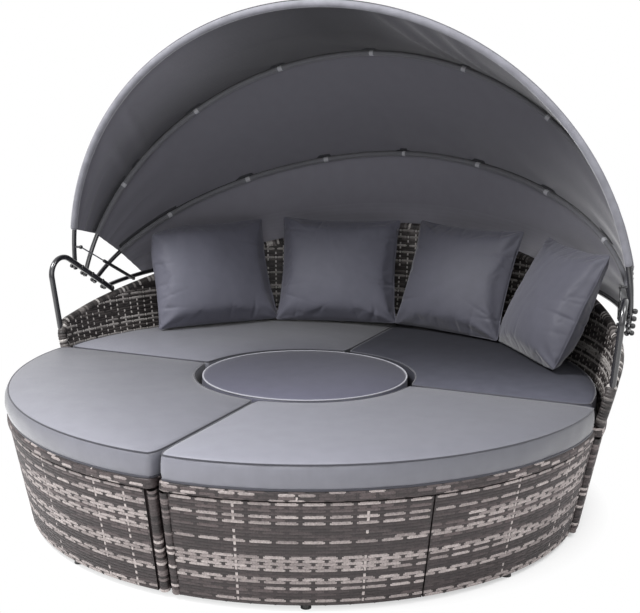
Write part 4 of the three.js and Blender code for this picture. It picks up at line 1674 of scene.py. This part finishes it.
@dataclass(frozen=True)
class SupportTube:
    """Bent tube on the arm that carries the bows' pivots."""

    backrest: Backrest
    radius: float = 9.5 * MM
    yaw: float = math.radians(8)
    lean: float = math.radians(5)
    leg_y: float = 30 * MM
    leg_lean: float = math.radians(5)
    slope: float = math.radians(33.2)
    peak: float = 274 * MM
    bend: float = 60 * MM
    socket: float = 25 * MM
    run: float = 372 * MM
    first_pivot: float = 182 * MM
    pivot_pitch: float = 57 * MM
    bow_offset: float = 19 * MM

    def place(self, along: Number, up: Number, side: int) -> Array:
        """Points in the tube's own plane, put in the daybed's frame.

        Args:
            along: distance back along the arm.
            up: height above the arm.
            side: -1 on the left, 1 on the right.

        Returns:
            The points.
        """
        arm = self.backrest.arm_height
        base = math.sqrt(self.backrest.middle(arm) ** 2 - self.leg_y**2)
        x = base - along * math.sin(self.yaw) + up * math.sin(self.lean)
        y = CENTRE_Y + self.leg_y + along * math.cos(self.yaw)
        return np.stack([side * x, y, arm + up * math.cos(self.lean)], axis=-1)

    def corners(self) -> tuple[Array, Array, Array]:
        """Peak of the bend and the directions of the leg and the run.

        Returns:
            The three, in the tube's plane.
        """
        top = np.array([-math.tan(self.leg_lean) * self.peak, self.peak])
        leg = np.array([math.sin(self.leg_lean), -math.cos(self.leg_lean)])
        return top, leg, np.array([math.cos(self.slope), -math.sin(self.slope)])

    def pivot(self, i: int, side: int) -> Array:
        """Where bow i from the front turns, for side -1 on the left or 1 on the right."""
        top, _, run = self.corners()
        return self.place(*(top + run * (self.first_pivot + i * self.pivot_pitch)), side)

    def build(self, word: str, side: int) -> None:
        """Builds the tube.

        Args:
            word: left or right.
            side: -1 on the left, 1 on the right.
        """
        top, leg, run = self.corners()
        half = math.acos(leg @ run) / 2
        tangent = self.bend / math.tan(half)
        foot = top + leg * (self.peak / math.cos(self.leg_lean) + self.socket)
        centre = top + normalised(leg + run) * self.bend / math.sin(half)
        start, end = top + leg * tangent, top + run * tangent
        first, last = (math.atan2(*(spot - centre)[::-1]) for spot in (start, end))
        arc = np.linspace(first % ROUND, last, 40)
        bend = centre + self.bend * np.column_stack([np.cos(arc), np.sin(arc)])
        flat = np.vstack([np.linspace(foot, start, 20), bend, np.linspace(end, top + run * self.run, 20)])
        node = f"support_tube_{word}"
        mesh = Path(self.place(*flat.T, side)).even(260).mesh(f"{node}_bent", self.radius, 150, 24)
        shown(mesh, Wear.STEEL, REAR, node)


def rounded(profile: Profile, ease: float) -> list[tuple[float, float]]:
    """Eases the corners of a turned profile.

    Args:
        profile: radius and place of each corner.
        ease: how far from each corner the easing starts.

    Returns:
        The eased profile.
    """
    points = [np.array(p, float) for p in profile]
    eased = [tuple(points[0])]
    for before, here, after in zip(points, points[1:], points[2:]):
        ways = before - here, after - here
        reach = min(ease, *(np.linalg.norm(way) / 2.2 for way in ways))
        a, b = (here + way / max(np.linalg.norm(way), 1e-9) * reach for way in ways)
        eased += [tuple((1 - t) ** 2 * a + 2 * t * (1 - t) * here + t * t * b) for t in (0.0, 0.35, 0.65, 1.0)]
    return [*eased, tuple(points[-1])]


def spun(name: str, profile: Profile, ease: float, matrix: Matrix, steps: int = 40) -> Mesh:
    """A turned piece.

    Args:
        name: the mesh's name.
        profile: radius and place along the axis, from one end on the axis to the other.
        ease: how far from each corner the profile is eased.
        matrix: puts the piece's X axis in place.
        steps: facets round it.

    Returns:
        The mesh.
    """
    body = turned([(x, r, 0) for r, x in rounded(profile, ease)], (1, 0, 0), steps, 0.005 * MM)
    bmesh.ops.transform(body, matrix=matrix, verts=body.verts)
    return finished(body, name)


@dataclass(frozen=True)
class PivotBolt:
    """Bolt through the support tube and a bow, with a round cap outboard."""

    tube: SupportTube
    index: int
    side: int
    word: str
    shank: float = 3 * MM
    head: float = 6 * MM
    head_length: float = 5 * MM
    cap: float = 8 * MM
    cap_length: float = 12 * MM
    ease: float = 2.2 * MM

    CAP = ((0.9, 0), (1, 0.25), (1, 0.5), (0.8, 0.85), (0.4, 1), (0, 1))

    def build(self) -> None:
        """Builds the bolt."""
        tube = self.tube
        head_face = -tube.radius - 0.6 * MM - self.head * math.tan(tube.yaw)
        cap_face = tube.bow_offset + 8.3 * MM
        profile = [
            (0, head_face - self.head_length),
            (self.head, head_face - self.head_length),
            (self.head, head_face),
            (self.shank, head_face),
            (self.shank, cap_face),
            *((self.cap * wide, cap_face + self.cap_length * far) for wide, far in self.CAP),
        ]
        node = f"pivot_bolt_{self.word}_{self.index + 1}"
        place = Matrix.Translation(Vector(tube.pivot(self.index, self.side)))
        mesh = spun(f"{node}_turned", profile, self.ease, place @ Matrix.Diagonal((self.side, 1, 1, 1)))
        face_out(mesh)
        shown(mesh, Wear.PLASTIC, REAR, node)


@dataclass(frozen=True)
class GasStrut:
    """Gas spring that holds the front bow up."""

    front: Bow
    rear: Bow
    side: int
    word: str
    on_front: float = 70 * MM
    on_rear: float = 120 * MM
    inset: float = 28 * MM
    tube: float = 6 * MM
    rod: float = 2.5 * MM
    rod_start: float = 150 * MM
    mouth: float = 180 * MM
    eye: float = 6.5 * MM
    eye_width: float = 8 * MM
    stud: float = 4 * MM

    def root(self, bow: Bow, reach: float) -> Vector:
        """Where a stud stands on a bow, at a distance from its pivots."""
        x, y, z = bow.point(bow.turn_at(reach))
        return Vector((self.side * x, y, z))

    def along_axis(self, start: Vector, end: Vector) -> Matrix:
        """Places a turned piece's X axis on the line between two points."""
        return Matrix.Translation(start) @ (end - start).to_track_quat("X", "Z").to_matrix().to_4x4()

    def build(self) -> None:
        """Builds the cylinder, the rod, the eyes, and the studs that carry them on the bows."""
        roots = self.root(self.rear, self.on_rear), self.root(self.front, self.on_front)
        rear, front = (root - Vector((self.side * self.inset, 0, 0)) for root in roots)
        place, length, neck = self.along_axis(rear, front), (front - rear).length, 2 * self.eye
        cylinder = (
            (0, 0),
            (self.stud, 0),
            (self.stud, neck - 2 * MM),
            (self.tube, neck),
            (self.tube, self.mouth - 3 * MM),
            (self.tube * 0.8, self.mouth),
            (self.rod + 0.5 * MM, self.mouth),
            (0, self.mouth - 4 * MM),
        )
        parts = (
            ("cylinder", cylinder, 1 * MM, 40, Wear.PLASTIC),
            ("rod", self.pin(self.rod, self.rod_start, length), 0.4 * MM, 24, Wear.BRIGHT),
        )
        for part, profile, ease, steps, wear in parts:
            node = f"strut_{part}_{self.word}"
            mesh = spun(f"{node}_turned", profile, ease, place, steps)
            shown(mesh, wear, f"{self.word}_strut_{part}", node)
        half = self.eye_width / 2
        for spot, part, end in ((rear, "cylinder", "rear"), (front, "rod", "front")):
            profile = self.pin(self.eye, -half, half)
            mesh = spun(f"strut_eye_{self.word}_{end}", profile, 1.4 * MM, Matrix.Translation(spot), 28)
            shown(mesh, Wear.PLASTIC, f"{self.word}_strut_{part}")
        for bow, root, eye, end in ((self.rear, roots[0], rear, "rear"), (self.front, roots[1], front, "front")):
            tip = eye + Vector((self.side * (half + 0.9 * MM), 0, 0))
            profile = self.pin(self.stud, 0, (tip - root).length)
            mesh = spun(f"strut_stud_{self.word}_{end}", profile, 0.8 * MM, self.along_axis(root, tip), 24)
            shown(mesh, Wear.STEEL, bow.body)

    def pin(self, radius: float, start: float, end: float) -> Profile:
        """Profile of a plain round pin."""
        return (0, start), (radius, start), (radius, end), (0, end)


class Canopy:
    """Bows, cloth, support tubes, bolts and gas struts."""

    BOWS = (
        ("bow_front", "canopy_front_bow", 877.2 * MM, 2.0, 96.05, 133 * MM, 3.1 * MM),
        ("bow_second", "canopy_second_bow", 836.5 * MM, 1.95, 66.56, 145 * MM, 1.7 * MM),
        ("bow_third", "canopy_third_bow", 771.4 * MM, 1.85, 35.05, 155 * MM, 1.7 * MM),
        ("bow_rear", REAR, 744.1 * MM, 1.85, 7.5, 198 * MM, 2.2 * MM),
    )
    HEMS = (6 * MM, -0.2 * MM, -0.2 * MM, 16 * MM)
    STRAPS = ((), (24, 48, 69, 90, 111, 132, 156), (30, 51, 70, 90, 110, 129, 150), ())
    # Painted light and shade on each panel's inside faces: at the front bow, at the middle and at the rear bow,
    # each along the bow.
    INSIDE_LIGHT_AND_SHADE = (
        ((1.06, 0.99, 0.8, 0.36, 0.34, 0.72, 1.3, 1.32), (0.84, 0.79, 0.6, 0.3, 0.28, 0.5, 0.92, 1.05), (0.34,)),
        ((1.06,), (1.06,), (1.06,)),
        ((1.36,), (1.36,), (2.8,)),
    )
    FOLDS = ((0.44, 0.372), (0.405, 0.335), (0.365, 0.30), (0.80, 0.86), (0.85, 0.9))
    SEAM_SHADOW_WIDTH = 36 * MM

    def __init__(self, tube: SupportTube) -> None:
        """Places the bows on the support tubes' pivots.

        Args:
            tube: the right support tube.
        """
        self.tube = tube
        self.bows = []
        for i, sizes in enumerate(self.BOWS):
            pivot = tube.pivot(i, 1)
            self.bows.append(Bow(*sizes, pivot[0] + tube.bow_offset, pivot * np.array([0, 1, 1])))

    def cloth(self) -> None:
        """The three panels, each in two halves."""
        for i, part in enumerate(("front", "middle", "rear")):
            node = f"canopy_{part}_panel"
            for half, k, step in (("front", i, 1), ("rear", i + 1, -1)):
                CanopyPanel(
                    f"{node}_{half}_half",
                    self.bows[k],
                    self.bows[k + step],
                    self.HEMS[k],
                    (node,) if k == i else (),
                    self.pulls(k),
                    tuple(pair[::step] for pair in self.FOLDS) if i == 0 else (),
                    self.INSIDE_LIGHT_AND_SHADE[i][:2] if k == i else self.INSIDE_LIGHT_AND_SHADE[i][:0:-1],
                ).build()

    def pulls(self, i: int) -> tuple[float, ...]:
        """Shares along a cloth panel at which the straps of bow i pull on it."""
        first = math.degrees(self.bows[i].turn_at(self.bows[i].start))
        return tuple((turn - first) / (180 - 2 * first) for turn in self.STRAPS[i])

    def tape(self, bow: Bow) -> None:
        """Dark strip along a bow on the inside of the cloth: a sewn seam, widened and darkened as painted shadow
        beside the bow.

        Args:
            bow: the bow.
        """
        turns = bow.turns(bow.start + 8 * MM, 260)
        middle, under = (bow.point(turns[:, None], bow.radius + gap * MM) for gap in (1.0, 0.2))
        width = np.linspace(-1, 1, 5)[None, :, None] * self.SEAM_SHADOW_WIDTH / 2 * bow.normal
        whole = np.concatenate([middle + width, (under + width)[:, ::-1]], axis=1)
        piece = shown(grid_mesh(f"{bow.node}_seam_shadow_strip", whole, capped=True), Wear.SEAM_SHADOW, bow.body)
        flat = (self.SEAM_SHADOW_WIDTH, Path(bow.point(turns, bow.radius)).length)

    def sleeve(self, bow: Bow) -> None:
        """Cloth sleeve round a bow, where the cloth is tied to it."""
        line = Path(bow.point(bow.turns(bow.start - 4 * MM, 320)))
        shown(line.mesh(f"{bow.node}_sleeve", bow.radius + 0.7 * MM, 260), Wear.SLEEVE, bow.body)

    def hem(self, bow: Bow) -> None:
        """The sleeve at the canopy's front edge, sewn round the front bow."""
        line = Path(bow.point(bow.turns(bow.start, 320), 1.5 * MM) + bow.normal * 2 * MM)
        # The hem wears the lighter hem cloth, which paints light on the front rim.
        shown(line.mesh("canopy_front_hem", bow.radius + 4 * MM, 260), Wear.LIT_HEM, bow.body)

    def build(self) -> None:
        """Builds the whole canopy."""
        for bow in self.bows:
            bow.build()
        self.cloth()
        self.hem(self.bows[0])
        for bow, turns in zip(self.bows, self.STRAPS):
            bow.straps(turns)
        for bow in self.bows[1:3]:
            self.tape(bow)
            self.sleeve(bow)
        for word, side in (("left", -1), ("right", 1)):
            self.tube.build(word, side)
            for i in range(len(self.bows)):
                PivotBolt(self.tube, i, side, word).build()
            GasStrut(self.bows[0], self.bows[3], side, word).build()


class Daybed:
    """The whole daybed."""

    FLARE = 58 / 292
    FOOT = 842 * MM
    REAR_FOOT = FOOT + 14 * MM
    HOLLOW = 344 * MM
    EDGE = 902 * MM
    REAR_EDGE = 883 * MM
    OTTOMANS = (("right", -QUARTER), ("left", -math.pi))
    # The last column is each cover's painted shade gradient; the rear covers also wear darker copies of the seat
    # cloth as painted shade.
    CUSHIONS = (
        ("front_right_cushion", "front_right_ottoman", -QUARTER, EDGE, 4 * MM, Wear.SEAT, (-0.28, -0.38, -0.7)),
        ("front_left_cushion", "front_left_ottoman", -math.pi, EDGE, 17 * MM, Wear.SEAT, (-0.85, -0.33, -1.1)),
        ("rear_cushion_right", REAR, 0, REAR_EDGE, 4 * MM, Wear.SHADED_SEAT, (-0.05, 0.3, -2.3)),
        ("rear_cushion_left", REAR, QUARTER, REAR_EDGE, 4 * MM, Wear.REAR_SEAT, (-0.22, -0.8, -1.6)),
    )
    # The last column is each pillow's painted light and shade.
    PILLOWS = (
        ("left", 725 * MM, 49.1, 25, -4 * MM, 0.18, 0.34, 30 * MM, 490 * MM, 0, 0.14),
        ("centre_left", 723 * MM, 15.2, 22, -5 * MM, 0.2, 0.12, 0, 466 * MM, 0, 0.06),
        ("centre_right", 723 * MM, -18.6, 22, -3 * MM, 0.2, 0.1, 0, 472 * MM, 0, -0.22),
        ("right", 725 * MM, -53.42, 25, -3 * MM, 0.3, -0.1, 0, 488 * MM, 18 * MM, -0.2),
    )

    def units(self) -> Iterator[Skirts]:
        """The woven units.

        Returns:
            Rear sofa, ottomans and table.
        """
        plan = self.FLARE, self.HOLLOW
        rear = Unit("rear", REAR, 0, math.pi, self.REAR_FOOT, *plan)
        yield Skirts(rear, (4.5, 47, 90, 133, 175.5), ("rear_skirt_right", "rear_skirt_left"))
        for word, start in self.OTTOMANS:
            unit = Unit(f"front_{word}", f"front_{word}_ottoman", start, QUARTER, self.FOOT, *plan)
            yield Skirts(unit, (24.5, 65.5), tuple(f"{unit.name}_skirt_panel_{k}" for k in "ab"))
        table = Unit("table", "centre_table", 0, ROUND, 328 * MM, 0, 0)
        yield Skirts(table, (45, 135, 225, 315), ("table_skirt",))

    def carried_over(self) -> None:
        """Gives the frames and decks, which stay as the CAD has them, their coat."""
        for name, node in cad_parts.items():
            if name.endswith(("_frame", "_deck")):
                node.data.materials.clear()
                node.data.materials.append(Wear.FRAME.material)

    def build(self) -> None:
        """Builds every piece."""
        for unit in self.units():
            unit.build()
        for k, sizes in enumerate(self.CUSHIONS):
            SectorCushion(*sizes, seed=3 * k + 1, inner=self.HOLLOW).build()
        TableCushion("centre_table").build()
        for seed, (word, *place) in enumerate(self.PILLOWS):
            ThrowPillow(f"throw_pillow_{word}", *place, seed=seed).build()
        backrest = Backrest(self.REAR_FOOT, self.FLARE)
        backrest.build()
        Canopy(SupportTube(backrest)).build()
        self.carried_over()


@dataclass(frozen=True)
class Studio:
    """Floor, light and camera."""

    camera_spot: tuple[float, float, float] = (1.4934, -3.3388, 1.2859 + 0.0275)
    target: tuple[float, float, float] = (0.0, 0.0, 0.5974 + 0.0275)
    lens: float = 67.97
    roll: float = math.radians(0.29)
    shift: tuple[float, float] = (0.0231, -0.0059)
    fade: tuple[float, float] = (0.775, 0.93)
    sky_strength: float = 0.38

    WHITE = (1, 1, 1, 1)
    PALE = {"Base_Color": (0.93, 0.93, 0.93, 1), "Roughness": 0.9, "Specular_IOR_Level": 0.1}
    LIGHTS = (
        ("key", (-1.7, -2.2, 4.0), 1.5, 300),
        ("fill", (1.6, -4.2, 2.6), 2.6, 70),
        ("rim", (2.8, -0.4, 3.4), 1.6, 90),
    )

    def floor(self) -> None:
        """A pale floor that fades to white away from the daybed."""
        body = bmesh.new()
        bmesh.ops.create_grid(body, x_segments=1, y_segments=1, size=30)
        floor = bpy.data.objects.new("floor", finished(body, "floor"))
        bpy.context.scene.collection.objects.link(floor)
        shader = Shader("pale floor")
        shader.fill(shader.principled, self.PALE)
        away = shader.node("VectorMath", shader.node("TexCoord").outputs["Object"], operation="LENGTH")
        near, far = self.fade
        fade = shader.node("MapRange", Value=away.outputs["Value"], From_Min=near, From_Max=far)
        seen = shader.node("LightPath").outputs["Is Camera Ray"]
        share = shader.node("Math", fade.outputs["Result"], seen, operation="MULTIPLY").outputs["Value"]
        white = shader.node("Emission", self.WHITE, 1.0).outputs["Emission"]
        mix = shader.node("MixShader", share, shader.principled.outputs["BSDF"], white)
        shader.join(mix.outputs["Shader"], shader.tree.nodes["Material Output"].inputs["Surface"])
        floor.data.materials.append(shader.material)

    def light(self, name: str, spot: Sequence[float], size: float, power: float) -> None:
        """A soft area light that points at the daybed.

        Args:
            name: the light's name.
            spot: where it hangs.
            size: its width.
            power: its power in watts.
        """
        data = bpy.data.lights.new(name, "AREA")
        data.shape, data.size, data.energy = "SQUARE", size, power
        lamp = bpy.data.objects.new(name, data)
        lamp.location = spot
        lamp.rotation_euler = (Vector((0, 0, 0.5)) - Vector(spot)).to_track_quat("-Z", "Y").to_euler()
        bpy.context.scene.collection.objects.link(lamp)

    def sky(self) -> None:
        """A white surround that lights the scene softly."""
        world = bpy.data.worlds.new("surround")
        world.use_nodes = True
        nodes = Nodes(world.node_tree)
        nodes.tree.nodes.clear()
        rays = nodes.node("LightPath").outputs
        seen = nodes.node("Math", rays["Is Camera Ray"], rays["Is Glossy Ray"], operation="MAXIMUM")
        soft, white = (nodes.node("Background", self.WHITE, k).outputs[0] for k in (self.sky_strength, 1.0))
        nodes.node("OutputWorld", nodes.node("MixShader", seen.outputs["Value"], soft, white).outputs["Shader"])
        bpy.context.scene.world = world

    def camera(self) -> None:
        """The camera where the photograph was taken."""
        data = bpy.data.cameras.new("camera")
        data.lens, data.sensor_width = self.lens, 36
        data.shift_x, data.shift_y = self.shift
        camera = bpy.data.objects.new("camera", data)
        spot, target = (Vector(place) + Vector((0, CENTRE_Y, 0)) for place in (self.camera_spot, self.target))
        look = (target - spot).to_track_quat("-Z", "Y").to_matrix().to_4x4()
        camera.matrix_world = Matrix.Translation(spot) @ look @ Matrix.Rotation(self.roll, 4, "Z")
        bpy.context.scene.collection.objects.link(camera)
        bpy.context.scene.camera = camera

    def build(self) -> None:
        """Builds the stage."""
        self.floor()
        self.sky()
        for light in self.LIGHTS:
            self.light(*light)
        self.camera()
        bpy.context.scene.view_settings.view_transform = "Standard"


def main() -> None:
    """Builds the daybed on its stage."""
    logging.basicConfig(level=logging.INFO, format="%(message)s")
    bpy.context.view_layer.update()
    Daybed().build()
    Studio().build()


if __name__ == "__main__":
    main()
